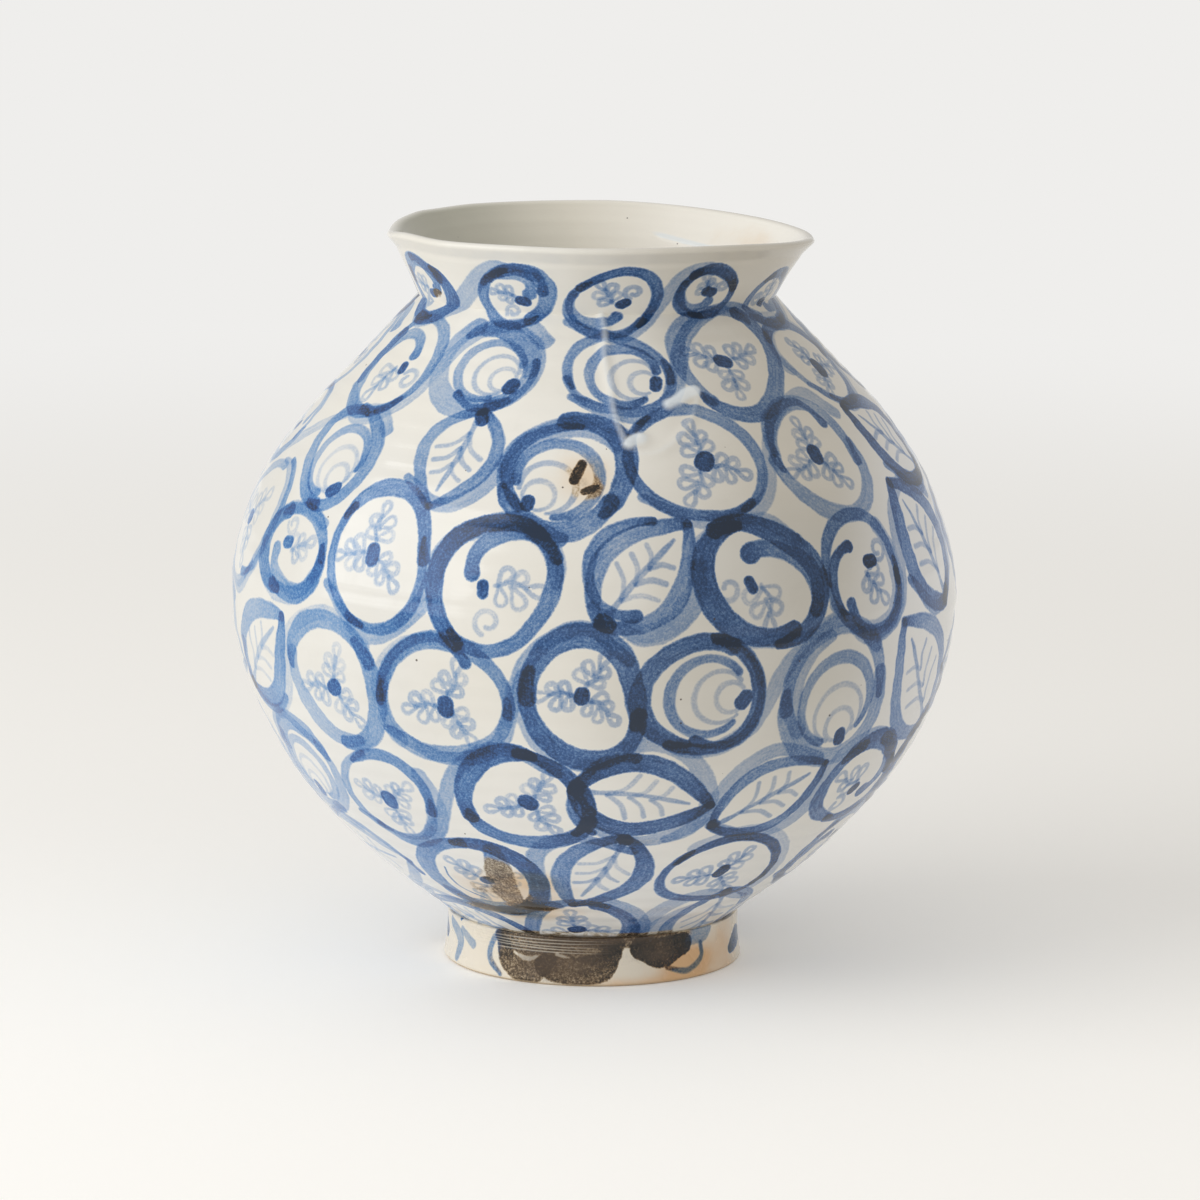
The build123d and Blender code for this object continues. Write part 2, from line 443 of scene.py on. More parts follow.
def measure(stroke, x, y, nearest):
    """Offset of points from the stroke's path near its given samples: across it, past its nearer end,
    and the half width and strength there."""
    best = None
    for shift in (-2, -1, 0, 1, 2):
        sample = np.clip(nearest + shift, 0, len(stroke.along) - 1)
        dx = x - stroke.points[sample, 0]
        dy = y - stroke.points[sample, 1]
        far = dx * dx + dy * dy
        ahead = stroke.ahead[sample]
        across = ahead[..., 0] * dy - ahead[..., 1] * dx
        along = stroke.along[sample] + ahead[..., 0] * dx + ahead[..., 1] * dy
        if best is None:
            best = [far, across, along]
        else:
            nearer = far < best[0]
            best = [np.where(nearer, new, old) for new, old in zip((far, across, along), best)]
    across, along = best[1:]
    past = np.maximum(-along, along - stroke.total)
    half = np.interp(along, stroke.along, stroke.half)
    strength = np.interp(along, stroke.along, stroke.strength)
    return np.stack([across, past, half, strength], axis=-1)


def lay_brushwork(mesh, u, s, painted, strokes):
    """Writes the strokes onto the painted faces. Each face has a few slots, and each slot holds one stroke's
    offset across, offset past the end, half width and strength at the face's corners, as a colour."""
    faces = np.flatnonzero(painted)
    u, s = u[faces], s[faces]
    radius = chart_radius(s)
    middle_u, middle_s, middle_radius = u.mean(axis=1), s.mean(axis=1), radius.mean(axis=1)
    levels = middle_s[::COLUMNS]
    slots = np.zeros((STROKE_SLOTS, len(mesh.loops), 4), dtype=np.float32)
    slots[..., 2] = EMPTY_SLOT
    used = np.zeros(len(faces), dtype=int)
    for stroke in strokes:
        reach = stroke.half.max() + EDGE_REACH + SEARCH_MARGIN
        low = stroke.points.min(axis=0) - reach
        high = stroke.points.max(axis=0) + reach
        rows = np.flatnonzero((levels > stroke.s + low[1] * MM) & (levels < stroke.s + high[1] * MM))
        if not len(rows):
            continue
        block = np.arange(rows[0] * COLUMNS, (rows[-1] + 1) * COLUMNS)
        gap = middle_u[block] - stroke.u
        round_trip = TURN * np.round(gap / TURN)
        x = (gap - round_trip) * middle_radius[block] / MM
        kept = np.flatnonzero((x > low[0]) & (x < high[0]))
        near, x, round_trip = block[kept], x[kept], round_trip[kept]
        if not len(near):
            continue
        dx = x[:, None] - stroke.points[None, :, 0]
        dy = (middle_s[near, None] - stroke.s) / MM - stroke.points[None, :, 1]
        nearest = (dx * dx + dy * dy).argmin(axis=1)
        corner_x = (u[near] - stroke.u - round_trip[:, None]) * radius[near] / MM
        corner_y = (s[near] - stroke.s) / MM
        values = measure(stroke, corner_x, corner_y, nearest[:, None])
        outside = np.hypot(values[..., 0], np.maximum(values[..., 1], 0)) - values[..., 2]
        touched = outside.min(axis=1) < EDGE_REACH
        near, values = near[touched], values[touched]
        free = (used[near] < STROKE_SLOTS) & (middle_s[near] < PAINT_END)
        near, values = near[free], values[free]
        loops = faces[near][:, None] * 4 + np.arange(4)
        slots[used[near][:, None], loops] = values
        used[near] += 1
    for slot in range(STROKE_SLOTS):
        layer = mesh.attributes.new(f"stroke{slot}", "FLOAT_COLOR", "CORNER")
        layer.data.foreach_set("color", slots[slot].ravel())


# Brush motifs. Each cell of the painting is a roundish field of the wall, and each motif fills one cell. The
# brush's half width is for a cell of the usual size, in millimetres. The colour comes in a few strengths.

BRUSH_HALF = 4.1
USUAL_SIZE = 32
CELL_STRENGTHS = (0.34, 0.44, 0.54, 0.64, 0.84)


def about(value, spread=0.12):
    """A value with a little hand variation, evenly drawn."""
    return value * draw.uniform(1 - spread, 1 + spread)


def pressure(t, start=0.6, middle=1.0, end=0.85):
    """Half width along a stroke, as a share: the brush lands, spreads, lifts and stops, with a slow waver."""
    waver = 0.06 * np.sin(t * draw.uniform(5, 11) + draw.uniform(0, TURN))
    swell = draw.uniform(0.25, 0.7)
    shares = [start, middle * 0.85, middle * 1.15, middle * 0.85, end]
    return np.interp(t, [0, 0.1, swell, 0.88, 1], shares) + waver


def load(t, strength):
    """Strength of the colour along a stroke: full where the brush lands, thinner on the way, then pooled."""
    return strength * np.interp(t, [0, 0.15, draw.uniform(0.4, 0.75), 1], [1.15, 0.95, 0.78, 1.05])


def turned(path, angle, shift=(0.0, 0.0)):
    """A path turned by an angle and moved."""
    c, s = math.cos(angle), math.sin(angle)
    return np.asarray(path) @ np.array([[c, s], [-s, c]]) + np.asarray(shift)


def toward(bearing, reach):
    """The point at a bearing and distance, or the rows x and y of several."""
    return reach * np.array([np.cos(bearing), np.sin(bearing)])


class Cell:
    """A field of the painting in millimetres: its middle on the wall, mean radius, stretch and tilt, the way
    that its curl turns, the brush's half width and the strength of its colour."""

    def __init__(self, u, s, size, mirror):
        self.u = u
        self.s = s
        self.size = size
        self.mirror = mirror
        self.stretch = draw.uniform(0.02, 0.12)
        self.tilt = draw.uniform(0, math.pi)
        self.half = about(BRUSH_HALF, 0.3) * (size / USUAL_SIZE) ** 0.5
        self.strength = draw.choice(CELL_STRENGTHS)

    def edge(self, bearing, share=1.0):
        """Points at a share of the cell's outline: a circle, stretched one way and a little uneven."""
        uneven = self.stretch * np.cos(2 * (bearing - self.tilt)) + 0.03 * np.cos(3 * bearing + 5 * self.tilt)
        return toward(bearing, self.size * (1 + uneven) * share).T

    def stroke(self, path, half, strength):
        """A stroke laid flat round the cell's middle."""
        return Stroke(self.u, self.s, path, half, strength)

    def brush(self, path, half, strength, spread=0.12, shape=(0.6, 1.0, 0.85)):
        """A stroke whose half width follows the brush's pressure, and whose strength follows its load."""
        t = np.linspace(0, 1, len(path))
        half = half * pressure(t, *shape)
        return self.stroke(path, half, load(t, about(strength, spread)))


def ring(cell):
    """The cell's outline in two or three broad strokes that overlap, each with its own load."""
    parts = draw.choice((2, 2, 3))
    start = draw.uniform(0, TURN)
    strokes = []
    for part in range(parts):
        t = np.linspace(0, 1, 60)
        sweep = TURN / parts + draw.uniform(0.1, 0.5)
        bearing = start + cell.mirror * (TURN * part / parts + sweep * t)
        share = draw.uniform(0.9, 0.99) + draw.uniform(-0.05, 0.05) * t
        half = cell.half * about(1.0, 0.28)
        strokes.append(cell.brush(cell.edge(bearing, share), half, cell.strength, 0.35, (0.5, 1.0, 0.85)))
    return strokes


def wash(cell, strength=0.15):
    """A broad pale arc just inside or outside the outline."""
    t = np.linspace(0, 1, 50)
    bearing = draw.uniform(0, TURN) + draw.uniform(1.6, 3.4) * t
    path = cell.edge(bearing, draw.uniform(0.84, 1.08))
    return [cell.stroke(path, about(5.2) * pressure(t), about(strength, 0.4))]


def accent(cell):
    """A thinner, dark stroke laid over part of the outline, whose end curls back over the white."""
    t = np.linspace(0, 1, 60)
    bearing = draw.uniform(0, TURN) + cell.mirror * TURN * draw.uniform(0.3, 0.5) * t
    share = draw.uniform(0.9, 1.06) - 0.22 * np.clip(t - 0.75, 0, 1) * 4
    return [cell.brush(cell.edge(bearing, share), about(2.7), 0.55, shape=(0.8, 1.0, 1.2))]


def dab(cell, place, size, strength):
    """A dab of the brush: a very short stroke that is nearly round."""
    path = np.array([[0, 0], toward(draw.uniform(0, TURN), about(2.8, 0.5))]) + place
    return [cell.stroke(path, about(size), strength)]


def spray(cell, place, size, angle, strength):
    """A spray in thin pale line: a bent stalk with a leaf outline at its tip and one or two on each side."""
    bend = draw.uniform(-0.2, 0.2) * size
    stalk = turned(rounded([[0, 0], [size * 0.35, bend], [size * 0.66, bend * 0.6]], 24), angle, place)
    strokes = [cell.stroke(stalk, about(1.2), about(strength, 0.25))]
    t = np.linspace(0, 1, 36)
    for lean, start in ((0.0, 0.62), (-0.9, 0.36), (0.9, 0.32), (-1.15, 0.08), (1.15, 0.06)):
        length = about(size * 0.44)
        loop = np.stack([length * np.sin(math.pi * t) ** 0.9, length * 0.3 * np.sin(TURN * t)], axis=-1)
        base = turned([[start * size, bend * start]], angle, place)[0]
        strokes.append(cell.stroke(turned(loop, angle + lean, base), about(1.25), about(strength, 0.25)))
    return strokes


def tendril(cell, place, size, strength):
    """A small spiral in thin line: its radius shrinks to under half while it turns about once."""
    t = np.linspace(0, 1, 60)
    bearing = draw.uniform(0, TURN) + draw.choice((-1, 1)) * TURN * draw.uniform(0.8, 1.2) * t
    path = toward(bearing, size * (1 - 0.6 * t**1.3)).T + place
    return [cell.stroke(path, about(1.4), about(strength, 0.3))]


def curl_cell(cell):
    """A curl: the outline's last stroke hooks inwards and ends in a dark pool, and a pale spray and tendrils
    grow in the white that it leaves."""
    strokes = ring(cell)
    t = np.linspace(0, 1, 60)
    start = draw.uniform(0, TURN)
    sweep = draw.uniform(0.30, 0.46) * TURN
    bearing = start + cell.mirror * sweep * t
    hook = cell.edge(bearing, 0.95 - draw.uniform(0.42, 0.58) * t**1.5)
    strokes.append(cell.brush(hook, cell.half, 0.55, 0.4, (0.8, 0.9, 1.0)))
    end = bearing[-1]
    strokes += dab(cell, toward(end + cell.mirror * 1.1, cell.size * 0.2), about(3.0), about(0.95))
    away = end + math.pi + draw.uniform(-0.4, 0.4)
    strokes += spray(cell, toward(away, cell.size * 0.02), cell.size * 0.72, away, 0.11)
    strokes += tendril(cell, toward(away - cell.mirror * 1.5, cell.size * 0.55), about(cell.size * 0.2), 0.12)
    return strokes


def fruit_cell(cell):
    """A round fruit: the outline, a dark dab in the middle, and three pale sprays round it."""
    strokes = ring(cell)
    middle = toward(draw.uniform(0, TURN), cell.size * 0.1)
    strokes += dab(cell, middle, about(3.9, 0.2), about(0.9))
    first = draw.uniform(0, TURN)
    for number in range(3):
        bearing = first + number * TURN / 3 + draw.uniform(-0.2, 0.2)
        strokes += spray(cell, middle + toward(bearing, 4.5), cell.size * 0.58, bearing, 0.11)
    return strokes


def leaf_side(length, width, side):
    """One side of a leaf: it bellies out by half the width, most at a third of the way to the tip."""
    t = np.linspace(0, 1, 50)
    return np.stack([length * t, side * width / 2 * np.sin(math.pi * t**0.85) ** 0.85], axis=-1)


def leaf_cell(cell):
    """A broad leaf across the cell: two heavy strokes from base to tip, a pale midrib with pale veins, and a
    dark dab at its base."""
    angle = cell.tilt + draw.choice((0, math.pi))
    length, width = cell.size * 2.25, cell.size * about(1.5, 0.08)
    base = toward(angle, -length / 2)
    strokes = []
    for side in (-1, 1):
        path = turned(leaf_side(length, width, side), angle, base)
        strokes.append(cell.brush(path, cell.half, cell.strength, 0.3, (0.7, 1.05, 0.6)))
    rib = turned(rounded(np.array([[0.1, 0], [0.45, about(0.03, 0.9)], [0.84, 0]]) * length, 30), angle, base)
    strokes.append(cell.stroke(rib, about(1.6) * pressure(np.linspace(0, 1, 30), 1.4, 1.0, 0.5), 0.2))
    for step in (0.24, 0.4, 0.56):
        for side in (-1, 1):
            reach = width * 0.36 * (1.15 - step)
            bent = [[step * length, 0], [step * length + reach * 0.6, side * reach * 0.4]]
            bent.append([step * length + reach * 0.9, side * reach])
            strokes.append(cell.stroke(turned(rounded(bent, 16), angle, base), about(1.3), about(0.1, 0.3)))
    strokes += dab(cell, base + toward(angle, 2.0), about(3.6), about(0.8))
    return strokes


def shell_cell(cell):
    """A shell: the outline, and inside it three arcs, each smaller than the last, that all but meet in one
    point of it, where a dark dab lies."""
    strokes = ring(cell)
    t = np.linspace(0, 1, 50)
    root = toward(cell.tilt, -0.78 * cell.size)
    for share, half, strength in ((0.66, 2.7, 0.4), (0.45, 1.5, 0.13), (0.26, 1.4, 0.11)):
        bearing = cell.tilt + cell.mirror * TURN * (t - 0.5) * about(0.8, 0.06)
        path = root + toward(cell.tilt, share * cell.size) + share * cell.size * toward(bearing, 1.0).T
        strokes.append(cell.brush(path, about(half), strength, 0.3))
    strokes += dab(cell, root, about(3.6), about(0.85))
    return strokes


# Rows of cells from the foot up: length s of the row's middle, number of cells, and their mean radius, in
# millimetres. No cell reaches higher than HIGHEST.
ROWS = (
    (14.0, 8, 29.0),
    (68.0, 11, 34.0),
    (128.0, 15, 33.5),
    (186.0, 17, 33.5),
    (245.0, 17, 33.0),
    (303.0, 14, 33.5),
    (355.0, 11, 28.5),
    (400.0, 11, 23.0),
)
HIGHEST = 425.0
MOTIFS = (curl_cell, fruit_cell, curl_cell, leaf_cell, shell_cell, curl_cell, fruit_cell, leaf_cell)
# Cells smaller than this are all curls, and the chances of a wash and of an accent on a cell
SMALL_CELL = 24
WASH_CHANCE = 0.4
ACCENT_CHANCE = 0.35
# How uneven the cells' places are, as shares of a cell, and how far each row is turned from the one below
PLACE_UNEVEN = 0.16
LEVEL_UNEVEN = 0.12
ROW_TURN = 0.3
# Settling of the cells: the rounds, one part in how many of what a pair lacks each round makes up, and the
# pull of the rows; then the uneven sizes of the cells, and how far each may shrink or grow at the end
SETTLE_ROUNDS = 40
SETTLE_PARTS = 3
SETTLE_PULL = 0.1
SIZE_RANGE = (0.74, 1.24)
GROWTH_RANGE = (0.78, 1.15)


def settle(u, s, size, anchors):
    """Moves the middles of cells until they no longer crowd: each pair that stands closer than its two radii
    is pushed apart by a third of what it lacks, and each cell is drawn back to its row by a tenth."""
    for _ in range(SETTLE_ROUNDS):
        middle = (s[:, None] + s[None, :]) / 2
        radius = chart_radius(middle * MM) / MM
        across = turn_from(u[None, :], u[:, None]) * radius
        up = s[:, None] - s[None, :]
        gap = np.hypot(across, up)
        np.fill_diagonal(gap, 1e6)
        push = np.clip((size[:, None] + size[None, :]) - gap, 0, None) / gap / SETTLE_PARTS
        u = u + (push * across / radius).sum(axis=1) + SETTLE_PULL * (anchors[0] - u)
        s = s + (push * up).sum(axis=1) + SETTLE_PULL * (anchors[1] - s)
    return u, s, gap


def lay_cells():
    """The painting's cells: rows round the jar, each shifted by half a cell from the one below, of uneven
    sizes, settled, and then grown or shrunk until each just reaches its three nearest neighbours."""
    u, s, size = [], [], []
    for row, (level, count, radius) in enumerate(ROWS):
        place = np.arange(count) + 0.5 * (row % 2) + draw.uniform(-PLACE_UNEVEN, PLACE_UNEVEN, count)
        u.append(place / count * TURN + ROW_TURN * row)
        s.append(level + draw.uniform(-LEVEL_UNEVEN, LEVEL_UNEVEN, count) * radius)
        size.append(radius * draw.uniform(*SIZE_RANGE, count))
    u, s, size = map(np.concatenate, (u, s, size))
    u, s, gap = settle(u, s, size, (u, s))
    s = np.minimum(s, HIGHEST - 0.9 * size)
    room = gap - size[None, :]
    size = np.clip(np.sort(room, axis=1)[:, :3].mean(axis=1), *(share * size for share in GROWTH_RANGE))
    size = np.minimum(size, HIGHEST - s)
    u = turn_from(0.0, u)
    return [Cell(*values, draw.choice((-1, 1))) for values in zip(u, s * MM, size)]


def paint_stem(cell, after):
    """A stroke of the vine: it runs below one cell, crosses over to the next and runs above it."""
    radius = float(chart_radius((cell.s + after.s) / 2))
    shift = np.array([turn_from(cell.u, after.u) * radius / MM, (after.s - cell.s) / MM])
    below = cell.edge(np.radians([-150.0, -90.0, -35.0]), 1.04)
    above = after.edge(np.radians([145.0, 90.0, 40.0]), 1.04) + shift
    return cell.brush(rounded(np.concatenate([below, above]), 70), about(4.2), 0.24, 0.4)


def paint_scroll():
    """The scroll: a motif in every cell, washes along some of the outlines, and stems of the vine that weave
    along the rows between the cells."""
    cells = lay_cells()
    strokes = []
    order = draw.permutation(len(cells))
    for number, cell in zip(order, cells):
        small = cell.size < SMALL_CELL
        strokes += (curl_cell if small else MOTIFS[number % len(MOTIFS)])(cell)
        if not small and draw.random() < WASH_CHANCE:
            strokes += wash(cell)
        if draw.random() < ACCENT_CHANCE:
            strokes += accent(cell)
    first = 0
    for row, (_, count, _) in enumerate(ROWS):
        for number in range(row % 2, count, 2):
            strokes.append(paint_stem(cells[first + number], cells[first + (number + 1) % count]))
        first += count
    return strokes


# Strokes in the scorch marks and on the foot, through pixels of the photograph, with their half widths in
# millimetres and their strength


def seen_stroke(pixels, half, strength):
    """A stroke through the wall's points behind a few pixels of the photograph."""
    u, s, path = local_path([wall_at(x, y) for x, y in pixels])
    path = rounded(path)
    half = np.interp(np.linspace(0, 1, len(path)), np.linspace(0, 1, len(half)), half)
    return Stroke(u, s, path, half, strength)


SCORCH_STROKES = (
    (((492, 850), (498, 868), (503, 886), (514, 901), (536, 908)), (5.0, 7.5, 8.0, 6.5, 3.5), 0.4),
    (((460, 897), (484, 905), (516, 909), (556, 906)), (2.5, 5.5, 6.0, 3.5), 0.42),
    (((582, 463), (578, 471), (574, 479)), (2.2, 2.8, 2.4), 1.1),
    (((584, 491), (590, 489), (597, 486)), (1.6, 2.2, 1.0), 0.9),
    (((444, 868), (451, 880), (466, 891), (486, 899)), (0.35, 0.45, 0.4, 0.3), 0.7),
)
FOOT_STROKES = (
    (((503, 944), (509, 962), (530, 973), (548, 960)), (4.2, 5.5, 6.0, 4.5), 0.62),
    (((545, 966), (572, 972), (600, 968), (613, 954)), (6.0, 7.5, 7.5, 5.0), 0.68),
    (((566, 946), (590, 951), (616, 945)), (5.5, 7.0, 5.0), 0.5),
    (((502, 936), (527, 943), (553, 944)), (4.5, 7.0, 4.5), 0.7),
    (((560, 938), (600, 941), (640, 939), (674, 932)), (2.6, 4.0, 4.0, 2.6), 0.5),
    (((642, 948), (662, 953), (683, 944)), (6.0, 8.0, 6.0), 1.15),
    (((668, 968), (688, 970), (702, 957), (701, 942)), (1.1, 1.5, 1.4, 1.1), 0.4),
    (((500, 974), (489, 957), (494, 938), (510, 929)), (1.2, 1.8, 1.6, 1.2), 0.36),
    (((452, 921), (459, 938), (456, 956)), (3.0, 4.2, 2.5), 0.24),
    (((462, 930), (472, 944)), (2.2, 2.6), 0.18),
    (((618, 930), (645, 925), (672, 930)), (3.0, 4.5, 3.0), 0.5),
    (((452, 909), (458, 912), (463, 918)), (1.0, 1.7, 1.0), 1.0),
    (((688, 938), (704, 930), (716, 918)), (4.0, 5.0, 3.0), 0.22),
)
# The strokes round the back of the foot: how many, the first one's longitude, the step between them, and the
# length s at which they start
BACK_STROKES = 9
BACK_START = 1.55
BACK_STEP = 0.38
BACK_LENGTH = -12 * MM


def paint_foot_back():
    """More of the same strokes on the sides of the foot that the photograph doesn't show."""
    strokes = []
    for number in range(BACK_STROKES):
        u = BACK_START + number * BACK_STEP + draw.uniform(-0.16, 0.16)
        path = [[-about(13, 0.4), draw.uniform(-5, 3)], [0, draw.uniform(-4, 6)]]
        path.append([about(13, 0.4), draw.uniform(-5, 3)])
        t = np.linspace(0, 1, 60)
        half = draw.choice((1.6, 4.5, 6.5)) * pressure(t)
        strokes.append(Stroke(turn_from(0.0, u), BACK_LENGTH, rounded(path), half, load(t, about(0.6, 0.5))))
    return strokes


PAINTING = paint_scroll() + [seen_stroke(*stroke) for stroke in SCORCH_STROKES]
PAINTING.sort(key=lambda stroke: -stroke.half.max())
FOOT_PAINTING = [seen_stroke(*stroke) for stroke in FOOT_STROKES] + paint_foot_back()


# Firing: where the glaze is scorched, flushed peach or pooled thick. Each mark is a pixel of the photograph,
# how far it reaches across and up in millimetres, and its strength.
SCORCHES = (
    ((499, 874), 10.0, 14.0, 1.15),
    ((512, 897), 11.0, 7.0, 1.15),
    ((484, 908), 11.0, 4.0, 1.1),
    ((536, 909), 15.0, 3.5, 1.05),
    ((470, 885), 9.0, 9.0, 0.55),
    ((579, 471), 8.0, 10.0, 0.85),
    ((590, 489), 8.0, 6.0, 0.85),
    ((530, 962), 22.0, 14.0, 1.15),
    ((585, 960), 22.0, 16.0, 1.2),
    ((662, 953), 17.0, 10.0, 1.2),
    ((600, 938), 46.0, 3.5, 0.9),
    ((437, 293), 4.0, 3.0, 1.7),
    ((458, 913), 4.5, 4.0, 1.3),
)
FLUSHES = (
    ((584, 476), 17.0, 16.0, 0.75),
    ((532, 880), 9.0, 8.0, 0.9),
    ((516, 912), 32.0, 10.0, 0.85),
    ((505, 890), 44.0, 20.0, 0.72),
    ((690, 962), 16.0, 8.0, 1.1),
    ((726, 945), 12.0, 16.0, 0.4),
    ((640, 984), 46.0, 3.5, 0.45),
    ((700, 978), 26.0, 4.0, 0.45),
)
POOLS = (
    ((688, 393), 6.0, 4.0, 0.5),
    ((655, 432), 9.0, 7.0, 0.4),
)
# How steeply a mark falls off, how far the foot's flush runs up the bowl and how strong it is, and how pooled
# the glaze is in the foot's grooves
MARK_FALL = 0.9
FLUSH_RISE = 16 * MM
FLUSH_SHARE = 0.2
GROOVE_POOL = 2.2


def marks(places, u, s):
    """Sum of bell-shaped marks at points of the wall."""
    total = np.zeros(np.broadcast(u, s).shape)
    for pixel, across, up, strength in places:
        mark_u, mark_s = wall_at(*pixel)
        x = turn_from(mark_u, u) * chart_radius(s) / MM
        y = (s - mark_s) / MM
        total += strength * np.exp(-((x / across) ** 2 + (y / up) ** 2) * MARK_FALL)
    return total


def firing(u, s):
    """Scorch, flush and pooled glaze at points of the wall. The foot is scorched and flushed most of the way
    round, and its flush runs a little way up the bowl."""
    near_foot = np.exp(-np.clip(s, 0, None) / FLUSH_RISE)
    patches = np.clip(0.55 + 0.9 * np.sin(2.6 * u + 0.8), 0, 1.2) * np.clip(np.abs(u) - 0.9, 0, 1)
    scorch = marks(SCORCHES, u, s) + near_foot * (s < 1 * MM) * patches
    flush = marks(FLUSHES, u, s) + FLUSH_SHARE * near_foot * np.clip(0.6 + 0.5 * np.sin(u), 0, 1)
    pool = marks(POOLS, u, s) + glaze_run(u, s) / RUN_FULL
    pool = pool + GROOVE_POOL * groove_lines(s + FOOT_TOP, u) * (s < 0)
    return np.stack([scorch, flush, pool, np.ones(scorch.shape)], axis=-1)


# The thick run of glaze on the shoulder: ridges through pixels of the photograph, with half width and height
# in millimetres, the last two of them the beads where it gathered. Nothing of a ridge lies past its reach,
# across and up from where it starts. Where it stands out in full, it counts as pooled.
RUN_FULL = 1.3 * MM
RUN_REACH = (70.0, 110.0)
RUN_RIDGES = (
    (((601, 312), (605, 334), (604, 356), (610, 384), (614, 414), (624, 441)), 2.7, 1.6),
    (((622, 440), (640, 453), (660, 451), (680, 436), (693, 414), (698, 392)), 2.5, 1.15),
    (((629, 444), (634, 441), (640, 439)), 3.6, 3.0),
    (((668, 405), (678, 400), (686, 394), (694, 391)), 3.5, 2.7),
)


def glaze_run(u, s):
    """How far the run of glaze stands out: a bell curve of the distance to each ridge's nearest point."""
    out = np.zeros(np.broadcast(u, s).shape)
    for pixels, half, height in RUN_RIDGES:
        start_u, start_s, path = local_path([wall_at(x, y) for x, y in pixels])
        path = rounded(path, 40)
        x, y = np.broadcast_arrays((u - start_u) * chart_radius(s) / MM, (s - start_s) / MM)
        near = (np.abs(x) < RUN_REACH[0]) & (np.abs(y) < RUN_REACH[1])
        gap = (x[near][:, None] - path[:, 0]) ** 2 + (y[near][:, None] - path[:, 1]) ** 2
        out[near] = np.maximum(out[near], height * MM * bell(np.sqrt(gap.min(axis=1)), half))
    return out


# The five pieces. Their rings lie this far apart on the bowls, the collar, the inside and the foot's side,
# and those of the flat underside cover a share of the base's radius.

SKIN_PITCH = 2.0 * MM
COLLAR_PITCH = 1.2 * MM
INNER_PITCH = 8.0 * MM
FOOT_PITCH = 0.34 * MM
UNDERSIDE = 0.97


def inner_outline(normal, arc_number):
    """Radius and height of the inner wall where its outward normal has that elevation."""
    reach = ARC_RADII[arc_number] - WALL
    centre = CENTRES[arc_number]
    return centre[0] + reach * np.cos(normal), centre[1] + reach * np.sin(normal)


def plain_rings(radius, height):
    """Rings without a swelling, from an array of radii and one of heights, or one height for all."""
    return around(radius[:, None], np.asarray(height)[..., None], LONGITUDES[None, :])


def make_lower_bowl():
    """Lower bowl: flat underside, the painted wall, then the inner wall down to the dished floor.
    Below, the wall follows the outline's two lower arcs; the floor's edge is one more arc, to level."""
    shell = Shell("lower_bowl_skin")
    under = np.linspace(0.0, UNDERSIDE, 9)[1:] * BASE_RADIUS
    shell.add(plain_rings(under, FOOT_TOP))
    s = steps(0.0, BELLY_LENGTH, SKIN_PITCH)
    shell.add(bowl_rings(s), s)
    inside = steps(BELLY_LENGTH, LENGTHS[1], INNER_PITCH)
    shell.add(bowl_rings(inside, WALL))
    normals = np.linspace(NORMALS[1], NORMALS[1] - FLOOR_START_ANGLE, 8)[1:]
    shell.add(plain_rings(*inner_outline(normals, 0)))
    edge_radius, edge_height = inner_outline(normals[-1], 0)
    centre_radius = edge_radius - FLOOR_CURVE * math.cos(normals[-1])
    centre_height = edge_height - FLOOR_CURVE * math.sin(normals[-1])
    turning = np.linspace(normals[-1], -math.pi / 2, 7)[1:]
    radius = centre_radius + FLOOR_CURVE * np.cos(turning)
    height = centre_height + FLOOR_CURVE * np.sin(turning)
    shell.add(plain_rings(radius, height))
    floor = np.linspace(1.0, 0.0, 7)[1:-1] * radius[-1]
    shell.add(plain_rings(floor, height[-1]))
    shell.poles = ((0.0, 0.0, FOOT_TOP), (0.0, 0.0, height[-1]))
    return shell.build(PAINTING)


def make_upper_bowl():
    """Upper bowl: the painted wall up to the neck, the level edge there, and the inner wall back down."""
    shell = Shell("upper_bowl_skin")
    s = steps(BELLY_LENGTH, NECK_LENGTH, SKIN_PITCH)
    shell.add(bowl_rings(s), s)
    inner_neck = math.asin((NECK_HEIGHT - CENTRES[3, 1]) / (ARC_RADII[3] - WALL))
    top = LENGTHS[3] + (inner_neck - NORMALS[3]) * ARC_RADII[3]
    inside = steps(top, BELLY_LENGTH, INNER_PITCH)
    shell.add(bowl_rings(inside, WALL))
    return shell.build(PAINTING)


def make_belly_seam():
    """Roll of clay inside the belly: its back lies on the inner wall, and its face is an arc in between."""
    shell = Shell("belly_seam_roll")
    sweep = np.linspace(SEAM_ANGLE, -SEAM_ANGLE, 9)
    arcs = np.where(sweep > 0, 2, 1)
    back = np.array([inner_outline(angle, arc_number) for angle, arc_number in zip(sweep, arcs)])
    height = np.linspace(back[-1, 1], back[0, 1], 11)[1:-1]
    share = (height - BELLY_HEIGHT) / (back[0, 1] - BELLY_HEIGHT)
    face = back[0, 0] + (BELLY_RADIUS - WALL - SEAM_THICKNESS - back[0, 0]) * (1 - share**2)
    shell.add(plain_rings(back[::-1, 0], back[::-1, 1]))
    shell.add(plain_rings(face[::-1], height[::-1]))
    return shell.build()


# Unevenness of the hand-made rim: the pinch at its right end, and where its edge stands high or low,
# as the longitude, the spread round the jar and the height
RIM_PINCH_PLACE = 1.60
RIM_PINCH_SPREAD = 0.27
RIM_PINCH = 2.3 * MM
RIM_SETTLE = 0.55 * MM
RIM_UNEVEN = (
    (-1.10, 0.20, 1.7 * MM),
    (-0.05, 0.36, -1.0 * MM),
    (0.78, 0.42, 1.1 * MM),
    (-2.10, 0.10, 0.5 * MM),
    (-1.62, 0.20, -1.9 * MM),
    (1.45, 0.40, 0.7 * MM),
    (1.57, 0.14, -0.7 * MM),
    (2.08, 0.34, 0.4 * MM),
)
